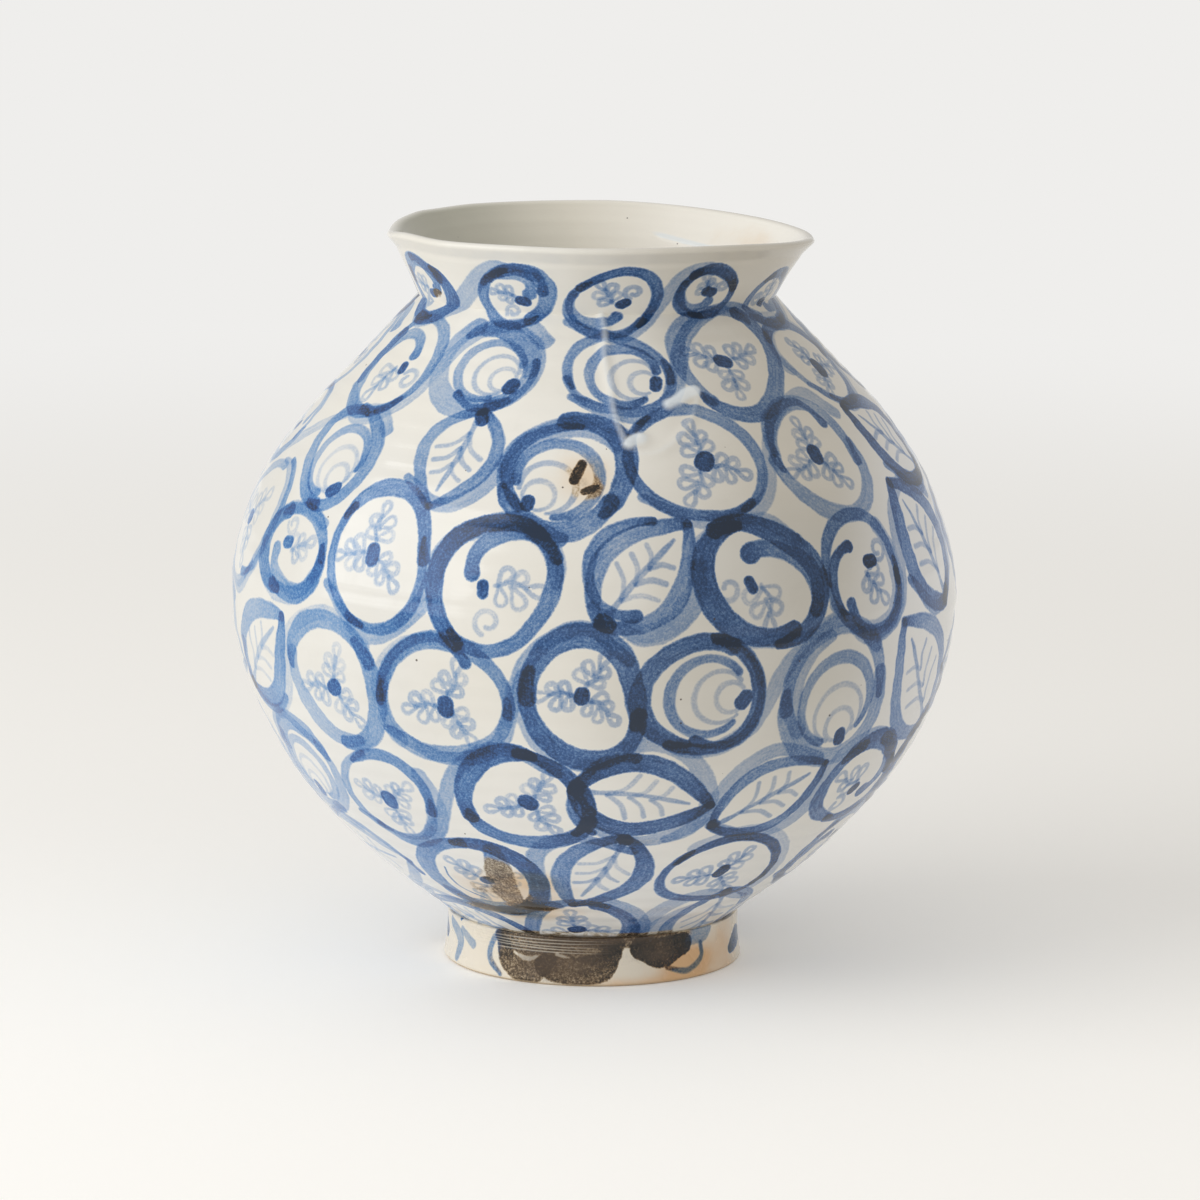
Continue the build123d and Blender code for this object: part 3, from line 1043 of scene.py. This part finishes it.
# The rolled lip: how far it stands out from the wall below it, over what height, the groove under it, and the
# number of rings across its top
LIP_ROLL = 1.3 * MM
LIP_ROLL_REACH = 3.2 * MM
LIP_GROOVE = 0.55 * MM
LIP_GROOVE_DROP = 6.0 * MM
LIP_GROOVE_REACH = 1.5 * MM
LIP_STEPS = 8
# How far each of the lip's rings counts as the jar's outside, and so is spared the inside's painted shade: a
# start, less a step for each ring inwards
LIP_OUTSIDE = (1.6, 0.25)
# How much of straight up there is in the way that the lip points
LIP_UPRIGHT = 1.3
# The thin brown line along the lip's inner edge at the left, a painted shadow where the lip turns into the
# inside wall
LIP_SHADOW_LINE = 1.25
LIP_SHADOW_PLACE = -0.8
LIP_SHADOW_SPREAD = 0.3
# Faint throwing rings inside the collar
INNER_RIPPLE = 0.10 * MM
INNER_RIPPLE_PITCH = 6.5 * MM


# The drip of glaze on the inside of the collar, as longitudes and the depth of each under the rim, with its
# half width and height, the longitudes over which its ends fade, and how pooled its glaze is
DRIP_PLACES = (2.36, 2.48, 2.64, 2.78, 2.89)
DRIP_DEPTHS = np.array([14.4, 15.0, 14.0, 12.6, 11.2]) * MM
DRIP_HALF = 1.3 * MM
DRIP_HEIGHT = 1.7 * MM
DRIP_FADES = (0.06, 0.1)
DRIP_POOL = 2.4
# The peach flush inside the collar, right of the drip: its longitude and depth, its spread both ways, and
# its strength
MOUTH_FLUSH = (2.12, 9.0 * MM)
MOUTH_FLUSH_SPREAD = (0.4, 9.0 * MM)
MOUTH_FLUSH_STRENGTH = 0.5


def drip(u, below):
    """How far the drip stands in from the collar's inside: a bell curve across it, faded at its ends."""
    start = np.clip((u - DRIP_PLACES[0]) / DRIP_FADES[0], 0, 1)
    end = np.clip((DRIP_PLACES[-1] - u) / DRIP_FADES[1], 0, 1)
    return DRIP_HEIGHT * start * end * bell(below - np.interp(u, DRIP_PLACES, DRIP_DEPTHS), DRIP_HALF)


def collar_wall(rise, u, inset, start_radius):
    """The collar's outside or inside at a share of its height: radii and centre both go from the neck's
    to the rim's by the flare's share. The right end of the rim is drawn out to a blunt point."""
    share = flare_share(rise)
    pinch = RIM_PINCH * bell(turn_from(RIM_PINCH_PLACE, u), RIM_PINCH_SPREAD) * rise**3
    wide = start_radius + (RIM_RADIUS - inset - start_radius) * share
    deep = start_radius + (RIM_DEPTH_RADIUS - inset - start_radius) * share
    return RIM_SHIFT * share + (wide + pinch) * np.sin(u), -(deep + pinch * 0.5) * np.cos(u)


def rim_height(u):
    """Height of the lip's crest: it falls off as on a wide cylinder that lies front to back left of the
    middle, with its back end a little high and turned left, and it is uneven by a few bell curves."""
    curve = RIM_RADIUS**2 / (2 * RIM_DIP)
    x, y = collar_wall(1.0, u, 0.0, NECK_RADIUS)
    beside = (x - (RIM_SHIFT - RIM_TILT_SHIFT)) * math.cos(RIM_TWIST) + y * math.sin(RIM_TWIST)
    uneven = RIM_SETTLE
    for place, spread, height in RIM_UNEVEN:
        uneven = uneven + height * bell(turn_from(place, u), spread)
    height = NECK_HEIGHT + COLLAR_HEIGHT + y * math.tan(RIM_LEAN) - beside**2 / (2 * curve) + uneven
    return np.minimum(height, RIM_TOP)


def make_mouth_collar():
    """Mouth collar: outside up to the rim, a lip that is half an ellipse across the wall, and inside down."""
    shell = Shell("mouth_collar_skin")
    u = LONGITUDES[None, :]
    top = rim_height(u) - LIP_CROWN
    rises = steps(0.0, 1.0, COLLAR_PITCH / COLLAR_LENGTH)[:, None]

    def rings(share_up, inset, start_radius):
        height = NECK_HEIGHT + (top - NECK_HEIGHT) * share_up
        rise = (height - NECK_HEIGHT) / COLLAR_HEIGHT
        below = top - height
        roll = LIP_ROLL * bell(below, LIP_ROLL_REACH)
        groove = LIP_GROOVE * bell(below - LIP_GROOVE_DROP, LIP_GROOVE_REACH)
        ripple = INNER_RIPPLE * np.sin(TURN * below / INNER_RIPPLE_PITCH + np.sin(2 * u))
        ripple = ripple * np.clip(below / LIP_ROLL_REACH, 0, 1)
        uneven = groove - roll if inset == 0.0 else drip(u, below) + ripple
        x, y = collar_wall(rise, u, inset + uneven, start_radius)
        return np.stack([x, y, height], axis=-1)

    outside = rings(rises, 0.0, NECK_RADIUS)
    shell.add(outside, NECK_LENGTH + rises[:, 0] * COLLAR_LENGTH)
    inside = rings(rises[::-1], LIP_WALL, THROAT_RADIUS)
    outer_edge, inner_edge = outside[-1], inside[0]
    middle = (outer_edge + inner_edge) / 2
    out = (outer_edge - inner_edge) / 2
    lean = outer_edge - outside[-3]
    lean = lean / np.linalg.norm(lean, axis=-1, keepdims=True) + np.array([0.0, 0.0, LIP_UPRIGHT])
    lean = lean / np.linalg.norm(lean, axis=-1, keepdims=True) * LIP_CROWN
    # Painted shadow on the lip's innermost ring, laid on through its scorch
    line = LIP_SHADOW_LINE * bell(LONGITUDES - LIP_SHADOW_PLACE, LIP_SHADOW_SPREAD)
    for number, angle in enumerate(np.linspace(0, math.pi, LIP_STEPS + 2)[1:-1]):
        fired = np.zeros((1, COLUMNS, 4))
        fired[..., 0] = line * (number == LIP_STEPS - 1)
        fired[..., 3] = np.clip(LIP_OUTSIDE[0] - LIP_OUTSIDE[1] * number, 0, 1)
        shell.add((middle + math.cos(angle) * out + math.sin(angle) * lean)[None], fired=fired)
    below = top - inside[..., 2]
    flush = MOUTH_FLUSH_STRENGTH * bell(u - MOUTH_FLUSH[0], MOUTH_FLUSH_SPREAD[0])
    flush = flush * bell(below - MOUTH_FLUSH[1], MOUTH_FLUSH_SPREAD[1])
    pool = DRIP_POOL * drip(u, below) / DRIP_HEIGHT
    shell.add(inside, fired=np.stack([0 * pool, flush, pool, 0 * pool], axis=-1))
    return shell.build(PAINTING)


# Turned grooves on the foot, as heights over the table, the longitude where they are deep, and the share of
# the depth that is left elsewhere; then the chip at the foot's top edge, and how its side waves and lies in
GROOVE_HEIGHTS = np.array([16.8, 18.6, 20.1, 21.6, 23.0]) * MM
GROOVE_SPREAD = 0.34 * MM
GROOVE_DEPTH = 0.36 * MM
GROOVE_PLACE = -0.38
GROOVE_REACH = 0.45
GROOVE_REST = 0.08
GROOVE_WANDER = 0.25 * MM
CHIP_PIXEL = (459, 913)
CHIP_SIZE = 2.2
CHIP_DEPTH = 0.9 * MM
FOOT_WAVE = 0.18 * MM
FOOT_SETTLE = 0.22 * MM


def groove_lines(height, u):
    """Depth of the grooves as a share: a bell curve across each, which wanders, deepest at one side."""
    deep = bell(u - GROOVE_PLACE, GROOVE_REACH) * (1 - GROOVE_REST) + GROOVE_REST
    middles = (groove + GROOVE_WANDER * np.sin(3 * u + groove * 900) for groove in GROOVE_HEIGHTS)
    return deep * sum(bell(height - middle, GROOVE_SPREAD) for middle in middles)


def foot_side(height, u):
    """Radius of the foot's outside: straight from edge to edge, hollow by a parabola, with grooves, a chip,
    slow waves and its edges rounded."""
    t = height / FOOT_TOP
    radius = FOOT_RADIUS + (FOOT_TOP_RADIUS - FOOT_RADIUS) * t - 4 * FOOT_HOLLOW * t * (1 - t)
    radius = radius - GROOVE_DEPTH * groove_lines(height, u)
    chip_u, chip_s = wall_at(*CHIP_PIXEL)
    x = (u - chip_u) * FOOT_TOP_RADIUS / MM
    y = (height - FOOT_TOP - chip_s) / MM
    radius = radius - CHIP_DEPTH * bell(np.hypot(x, y), CHIP_SIZE)
    low = np.clip(1 - height / FOOT_FACE_ROUND, 0, 1)
    high = np.clip(1 - (FOOT_TOP - height) / FOOT_TOP_ROUND, 0, 1)
    radius = radius - FOOT_FACE_ROUND * (1 - np.sqrt(1 - low**2))
    radius = radius - FOOT_TOP_ROUND * (1 - np.sqrt(1 - high**2))
    return radius + (FOOT_WAVE * np.sin(7 * u + 90 * height) - FOOT_SETTLE) * np.sin(math.pi * t)


def make_foot_ring():
    """Foot ring: outside up, the level edge under the bowl, the tapered inside down, the standing face."""
    shell = Shell("foot_ring_skin", outside=1.0)
    height = steps(0.0, FOOT_TOP, FOOT_PITCH)[:, None]
    u = LONGITUDES[None, :]
    shell.add(around(foot_side(height, u), height, u), height[:, 0] - FOOT_TOP)
    root = FOOT_TOP_RADIUS - FOOT_ROOT_WALL
    base = FOOT_RADIUS - FOOT_WALL
    t = np.linspace(1.0, TAPER_END, 12)
    inner = base + (root - base) * t
    shell.add(plain_rings(inner, t * FOOT_TOP))
    angle = np.linspace(0, math.pi / 2, 6)[1:]
    radius = inner[-1] + FOOT_FACE_ROUND * (1 - np.cos(angle))
    shell.add(plain_rings(radius, t[-1] * FOOT_TOP * (1 - np.sin(angle))))
    return shell.build(FOOT_PAINTING)


# Materials


def operator(name, swapped=False):
    """A method that works out an operation on a value and another, or a number, or with the two swapped."""
    return lambda self, other: self.work(name, *((other, self) if swapped else (self, other)))


class Value:
    """A number, vector or colour in a material. Operators on it add the nodes that work them out."""

    def __init__(self, finish, socket):
        self.finish = finish
        self.socket = socket

    def work(self, name, *values):
        """A Math node, or a Vector Math node where a value is a vector."""
        vectors = any(isinstance(value, Value) and value.socket.type == "VECTOR" for value in values)
        kind = "ShaderNodeVectorMath" if vectors else "ShaderNodeMath"
        if vectors:
            values = [value if isinstance(value, Value) else (value,) * 3 for value in values]
        return self.finish.add(kind, {"operation": name}, dict(enumerate(values)))

    __add__, __radd__ = operator("ADD"), operator("ADD", True)
    __sub__, __rsub__ = operator("SUBTRACT"), operator("SUBTRACT", True)
    __mul__, __rmul__ = operator("MULTIPLY"), operator("MULTIPLY", True)
    __truediv__ = operator("DIVIDE")
    __pow__ = operator("POWER")
    most = operator("MAXIMUM")

    def output(self, name):
        """Another output of the same node."""
        return Value(self.finish, self.socket.node.outputs[name])


def tint(code):
    """Linear colour of an sRGB hex code."""
    parts = [int(code[start : start + 2], 16) / 255 for start in (1, 3, 5)]
    linear = (part / 12.92 if part <= 0.04045 else ((part + 0.055) / 1.055) ** 2.4 for part in parts)
    return tuple(linear) + (1.0,)


class Finish:
    """A material, built node by node."""

    def __init__(self, name):
        self.material = bpy.data.materials.new(name)
        self.material.use_nodes = True
        self.tree = self.material.node_tree
        self.tree.nodes.clear()
        self.place = self.add("ShaderNodeTexCoord").output("Object")

    def add(self, kind, settings=None, inputs=None, output=0):
        """Adds a node of that type: first its settings, a ramp's stops among them, then the values, hex codes
        or links of its sockets. Gives one of its outputs."""
        node = self.tree.nodes.new(kind)
        for name, setting in (settings or {}).items():
            if name == "stops":
                self.fill_ramp(node.color_ramp, setting)
            else:
                setattr(node, name, setting)
        for name, value in (inputs or {}).items():
            if isinstance(value, Value):
                self.tree.links.new(value.socket, node.inputs[name])
            else:
                node.inputs[name].default_value = tint(value) if isinstance(value, str) else value
        return Value(self, node.outputs[output]) if node.outputs else node

    def fill_ramp(self, ramp, stops):
        """Sets a colour ramp's stops, from places and hex codes."""
        while len(ramp.elements) < len(stops):
            ramp.elements.new(1.0)
        for element, (place, code) in zip(ramp.elements, stops):
            element.position = place
            element.color = tint(code)

    def noise(self, scale, detail=2.0, roughness=0.5, place=None):
        """Smooth noise from 0 to 1, with that many features a metre, or a unit of the given place."""
        inputs = {"Vector": place or self.place, "Scale": scale, "Detail": detail, "Roughness": roughness}
        return self.add("ShaderNodeTexNoise", None, inputs, "Fac")

    def fade(self, value, start, end, low=0.0, high=1.0):
        """From low where the value is at start to high where it is at end, smoothly, and level outside."""
        inputs = {"Value": value, "From Min": start, "From Max": end, "To Min": low, "To Max": high}
        return self.add("ShaderNodeMapRange", {"interpolation_type": "SMOOTHSTEP"}, inputs)

    def mix(self, share, first, second, blend="MIX"):
        """Two colours mixed by a share, or blended where it is 1."""
        settings = {"data_type": "RGBA", "blend_type": blend, "clamp_factor": True}
        return self.add("ShaderNodeMix", settings, {0: share, 6: first, 7: second}, 2)

    def ramp(self, value, stops):
        """A colour from a ramp's stops."""
        return self.add("ShaderNodeValToRGB", {"stops": stops}, {"Fac": value}, "Color")

    def attribute(self, name, output):
        """A mesh attribute of the piece."""
        settings = {"attribute_type": "GEOMETRY", "attribute_name": name}
        return self.add("ShaderNodeAttribute", settings, None, output)

    def parts(self, vector):
        """X, Y and Z of a vector."""
        whole = self.add("ShaderNodeSeparateXYZ", None, {0: vector}, "X")
        return whole, whole.output("Y"), whole.output("Z")

    def close(self, shader):
        """Ends in that shader."""
        self.add("ShaderNodeOutputMaterial", None, {"Surface": shader})
        return self.material


# The colours that a stroke gives the glaze by its density, which is 1 at a summed strength of COBALT_FULL:
# the blue, a brighter blue at the left that is painted light from the window, and the brown-black of a
# scorched stroke
COBALT_FULL = 1.6
COBALT = (
    (0.0, "#ffffff"),
    (0.06, "#c6d3ea"),
    (0.16, "#93aed8"),
    (0.28, "#5f87c2"),
    (0.44, "#38619f"),
    (0.66, "#284c80"),
    (0.86, "#1f3e68"),
    (1.0, "#182f4d"),
)
COBALT_LIT_LEFT = (
    (0.0, "#ffffff"),
    (0.06, "#bdd2f0"),
    (0.16, "#82aee4"),
    (0.28, "#4a8ad2"),
    (0.44, "#2c66b4"),
    (0.62, "#244f92"),
    (0.82, "#1e3c6c"),
    (1.0, "#182d4c"),
)
SCORCHED = (
    (0.0, "#ffffff"),
    (0.12, "#d3c8b6"),
    (0.28, "#93826c"),
    (0.46, "#5d5042"),
    (0.70, "#363029"),
    (1.0, "#211e1a"),
)


def stroke_cover(finish, slot, fray):
    """What one slot's stroke lays down: its strength inside its frayed edge, darker along the rim and at the
    pooled ends, streaked along its length as the brush's hairs leave it."""
    stroke = finish.attribute(f"stroke{slot}", "Vector")
    strength = stroke.output("Alpha")
    across, past, half = finish.parts(stroke)
    beyond = past.most(0.0)
    distance = (across * across + beyond * beyond) ** 0.5
    edge = distance + fray * (half * 0.08 + 0.22) - half
    cover = finish.fade(edge, 0.6, -0.8)
    rim = finish.fade(edge, -2.4, -0.6)
    pool = finish.fade(past, -13.0, -1.0)
    hairs = {0: past * 0.045, 1: across * 0.75, 2: half * 3.1 + slot * 7.7}
    hairs = finish.add("ShaderNodeCombineXYZ", None, hairs)
    streaks = finish.noise(1.0, 3.0, 0.65, hairs)
    body = finish.fade(streaks, 0.3, 0.72, 0.74, 1.14)
    return strength * cover * (body + rim * 0.1 + pool * 0.34)


def brushwork(finish, cobalt_scorched):
    """The glaze's tint from all the strokes on it: their strengths add up, then turn into cobalt blue, paler
    and brighter on the left as painted light from the window, or into brown-black where the glaze is
    scorched."""
    fray = (finish.noise(110.0, 2.0) - 0.5) * 3.0 + (finish.noise(900.0, 1.0) - 0.5) * 1.2
    grain = finish.noise(850.0, 3.0, 0.75)
    total = 0.0
    for slot in range(STROKE_SLOTS):
        total = stroke_cover(finish, slot, fray) + total
    clouds = finish.fade(finish.noise(34.0, 3.0, 0.6), 0.25, 0.75, 0.78, 1.2)
    grains = finish.fade(grain, 0.28, 0.66, 0.58, 1.3)
    density = total * clouds * grains / COBALT_FULL
    burnt = density * finish.fade(grain, 0.36, 0.6, 0.76, 1.24)
    # Painted light: strokes on the lit left are thinner and a brighter blue
    x = finish.parts(finish.place)[0]
    painted_lit_left = finish.fade(x + finish.noise(7.0) * 0.12, 0.09, -0.11)
    density = density * (1 - painted_lit_left * 0.56)
    blue = finish.mix(painted_lit_left, finish.ramp(density, COBALT), finish.ramp(density, COBALT_LIT_LEFT))
    return finish.mix(cobalt_scorched, blue, finish.ramp(burnt, SCORCHED))


def specks(finish, scale, share, size):
    """Round specks of iron: in a share of the cells of a given size, a dot round the cell's point."""
    cells = finish.add("ShaderNodeTexVoronoi", None, {"Vector": finish.place, "Scale": scale}, "Distance")
    chance = finish.add("ShaderNodeSeparateColor", None, {0: cells.output("Color")}, "Red")
    other = chance.output("Green")
    reach = finish.fade(chance, 1.0 - share, 1.0, 0.0, size) * (other * 0.8 + 0.5)
    return finish.fade(cells - reach, 0.012, -0.012)


# Height of the glaze's finest relief
BUMP_DEPTH = 0.22 * MM


def glaze(name, painted, body, flush_tint, pooled, roughness, peppered=0.06):
    """Glazed porcelain: a warm white that clouds a little, with painted shade on the outside's right and on
    the inside's left, painted light low down and at the right edge, the lit left a little dimmed, peach where
    the fire reached it, the brushwork under it, scorch, pooled glaze, iron and ochre specks, bare clay on the
    standing edge, and faint throwing lines. The body colours are the glaze's, its clouds', its mottle's and a
    lighter one for the jar's lower part, painted light from the floor."""
    finish = Finish(name)
    fired = finish.attribute("firing", "Vector")
    scorch, flush, pool = finish.parts(fired)
    x, y, z = finish.parts(finish.place)
    clouds = finish.noise(9.0, 3.0, 0.55)
    mottle = finish.noise(60.0, 3.0, 0.6)
    grit = finish.noise(330.0, 4.0, 0.8)
    outside = fired.output("Alpha")
    # Painted light: the lower part of the jar takes the fourth body colour, which on the painted glaze is
    # lighter, standing in for light thrown up from the floor
    low = finish.fade(z, 0.19, 0.04)
    white = finish.mix(finish.fade(clouds, 0.35, 0.68), body[0], body[1])
    white = finish.mix(finish.fade(mottle, 0.5, 0.8) * 0.35, white, body[2])
    white = finish.mix(low, white, body[3])
    # Painted shade on the inside: greenish grey at the left, where the window's light doesn't reach, paling
    # to near white at the right; none is painted where outside is 1
    side = finish.fade(x + (clouds - 0.5) * 0.08, -0.11, 0.11)
    painted_inside_shade = finish.ramp(side, ((0.0, "#adac9b"), (0.45, "#ebe5d6"), (0.8, "#fdf8ee"), (1.0, "#fffbf2")))
    white = finish.mix((1 - outside) * 0.85, white, painted_inside_shade)
    flushed = finish.fade(flush + (mottle - 0.5) * 0.5 + (clouds - 0.5) * 0.3, 0.15, 1.0)
    white = finish.mix(flushed, white, flush_tint)
    # Painted shade on the right of the outside, away from the window: a greyer band that fades out towards
    # the right edge and towards the foot
    painted_right_shade = finish.fade(x + (clouds - 0.5) * 0.06, -0.02, 0.10)
    painted_right_shade = painted_right_shade * finish.fade(x + (clouds - 0.5) * 0.03, 0.185, 0.125) * outside
    white = finish.mix(painted_right_shade * finish.fade(z, 0.05, 0.2, 0.3, 1.0), white, "#e1ddd7", "MULTIPLY")
    # More painted shade, a little cooler, on that band round the belly
    belly = finish.fade(z, 0.11, 0.17) * finish.fade(z, 0.28, 0.24)
    white = finish.mix(painted_right_shade * belly, white, "#f4f6f9", "MULTIPLY")
    # Painted shade on the lit left: the whites there are toned down a little where the window's light falls
    # most
    painted_left_dimming = finish.fade(x + (clouds - 0.5) * 0.04, -0.05, -0.11) * finish.fade(z, 0.31, 0.26) * outside
    white = finish.mix(painted_left_dimming, white, "#f7f8fa", "MULTIPLY")
    # Painted light: a paler, cooler band along the outside's right edge, standing in for the bright rim that
    # the surroundings give it
    white = finish.mix(finish.fade(x, 0.11, 0.165) * outside * 0.55, white, "#eff0f3")
    if painted:
        scorched = finish.fade(scorch + (finish.noise(160.0, 3.0, 0.7) - 0.5) * 0.5, 0.32, 0.62)
        white = finish.mix(1.0, white, brushwork(finish, scorched), "MULTIPLY")
        char = finish.fade(scorch + (grit - 0.5) * 0.9, 0.8, 1.5)
        white = finish.mix(char * 0.62, white, "#5f4c3a")
    white = finish.mix(finish.fade(pool + (grit - 0.5) * 0.3, 0.45, 1.9) * 0.8, white, pooled)
    iron = specks(finish, 70.0, 0.16, 0.055).most(specks(finish, 190.0, peppered, 0.10))
    ochre = specks(finish, 38.0, 0.05, 0.035)
    white = finish.mix(ochre * 0.7, white, "#b98a55")
    white = finish.mix(iron * 0.88, white, "#3a2c22")
    bare = finish.fade(z, 0.0018, 0.0006)
    white = finish.mix(bare * 0.75, white, "#c9b292")
    turned_lines = finish.add("ShaderNodeCombineXYZ", None, {0: x * 3.0, 1: y * 3.0, 2: z * 420.0})
    rings = finish.noise(1.0, 2.0, 0.5, turned_lines)
    skin = finish.noise(260.0, 2.0, 0.5)
    pits = finish.noise(900.0, 1.0)
    height = rings * 0.5 + skin * 0.25 + pits * 0.06 + iron * 0.5
    gloss = finish.fade(mottle, 0.3, 0.7, *roughness) + bare * 0.5
    bump = finish.add("ShaderNodeBump", None, {"Height": height, "Distance": BUMP_DEPTH, "Strength": 0.6})
    sockets = {"Base Color": white, "Roughness": gloss, "Normal": bump, "IOR": 1.5}
    return finish.close(finish.add("ShaderNodeBsdfPrincipled", None, sockets))


# Each glaze: whether it is painted, its four body colours, the last of them for the jar's lower part, where
# the painted glaze's is lighter as painted light from the floor, its flush and pooled tints, its roughness
# from and to, and its share of small specks where that differs
GLAZES = {
    "painted_glaze": (
        True,
        ("#f3f0e8", "#ebe7dd", "#e6e3da", "#fbfaf6"),
        "#ecd2b0",
        "#eff4f6",
        (0.10, 0.20),
    ),
    "plain_glaze": (
        False,
        ("#e9e4d8", "#ded9cb", "#d8d3c6", "#e9e4d8"),
        "#e9d2b4",
        "#dfe3e2",
        (0.12, 0.25),
    ),
    "foot_glaze": (
        True,
        ("#f3e9d7", "#eee0ca", "#e8d6bb", "#f3e9d7"),
        "#e7bc8c",
        "#cfc5b4",
        (0.16, 0.32),
        0.24,
    ),
}
MATERIALS = {slot: glaze(slot, *values) for slot, values in GLAZES.items()}


def floor_material():
    """Pale paper sweep: it takes the object's shadow near it, and far off its own pale grey shows."""
    finish = Finish("sweep")
    x, y, _ = finish.parts(finish.place)
    far = finish.fade((x * x + y * y) ** 0.5, 0.9, 2.6)
    ray = finish.add("ShaderNodeLightPath", None, None, "Is Camera Ray")
    seen = ray.most(ray.output("Is Glossy Ray"))
    paper = finish.add("ShaderNodeBsdfDiffuse", None, {"Color": "#fcfaf6"})
    # Painted light on the near floor: for camera and glossy rays it glows a little on top of its shading,
    # more towards the front
    strength = seen * finish.fade(y, 0.4, -0.3, 0.09, 0.175)
    lift = finish.add("ShaderNodeEmission", None, {"Color": "#f4f2ee", "Strength": strength})
    near = finish.add("ShaderNodeAddShader", None, {0: paper, 1: lift})
    glow = finish.add("ShaderNodeEmission", None, {"Color": "#efeeec", "Strength": 1.0})
    return finish.close(finish.add("ShaderNodeMixShader", None, {0: far * seen, 1: near, 2: glow}))


# The floor: how far it reaches from the jar, and its grid lines each way
FLOOR_REACH = 40.0
FLOOR_LINES = 21


def make_floor():
    """Level floor: a grid whose lines lie at the cubes of even steps, and so closer near the jar."""
    line = np.linspace(-1, 1, FLOOR_LINES) ** 3 * FLOOR_REACH
    x, y = np.meshgrid(line, line, indexing="ij")
    points = np.stack([x, y, np.zeros_like(x)], axis=-1).reshape(-1, 3)
    index = np.arange(FLOOR_LINES**2).reshape(FLOOR_LINES, FLOOR_LINES)
    faces = np.stack([index[:-1, :-1], index[1:, :-1], index[1:, 1:], index[:-1, 1:]], axis=-1)
    mesh = bpy.data.meshes.new("floor")
    mesh.from_pydata(points.tolist(), [], faces.reshape(-1, 4).tolist())
    mesh.materials.append(floor_material())
    floor = new_object("floor", mesh)


# The window: its width and height, power in watts, colour, middle and the point that it faces. The room's
# light comes from all sides.
WINDOW_SIZE = (2.8, 2.2)
WINDOW_POWER = 37.0
WINDOW_COLOUR = (0.985, 0.995, 1.0)
WINDOW_PLACE = Vector((-2.36, -1.05, 1.5))
WINDOW_AIM = Vector((0.0, 0.0, 0.2))
ROOM_COLOUR = (1.0, 0.986, 0.962, 1.0)
ROOM_STRENGTH = 0.635


def make_lights():
    """A large soft window at the left and a pale room all round."""
    window = bpy.data.lights.new("window", "AREA")
    window.shape = "RECTANGLE"
    window.size, window.size_y = WINDOW_SIZE
    window.energy = WINDOW_POWER
    window.color = WINDOW_COLOUR
    lamp = new_object("window", window)
    lamp.matrix_world = Matrix.Translation(WINDOW_PLACE) @ facing(WINDOW_PLACE, WINDOW_AIM).to_4x4()
    world = bpy.data.worlds.new("room")
    world.use_nodes = True
    room = world.node_tree.nodes["Background"]
    room.inputs["Color"].default_value = ROOM_COLOUR
    room.inputs["Strength"].default_value = ROOM_STRENGTH
    bpy.context.scene.world = world
    bpy.context.scene.view_settings.view_transform = "Standard"


PIECES = (
    (make_lower_bowl, "lower_bowl", "painted_glaze"),
    (make_belly_seam, "belly_seam", "plain_glaze"),
    (make_upper_bowl, "upper_bowl", "painted_glaze"),
    (make_mouth_collar, "mouth_collar", "painted_glaze"),
    (make_foot_ring, "foot_ring", "foot_glaze"),
)
for make, node, slot in PIECES:
    piece = make()
    piece.data.materials.append(MATERIALS[slot])
    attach(piece, "root")
    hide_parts(node)

make_floor()
make_lights()
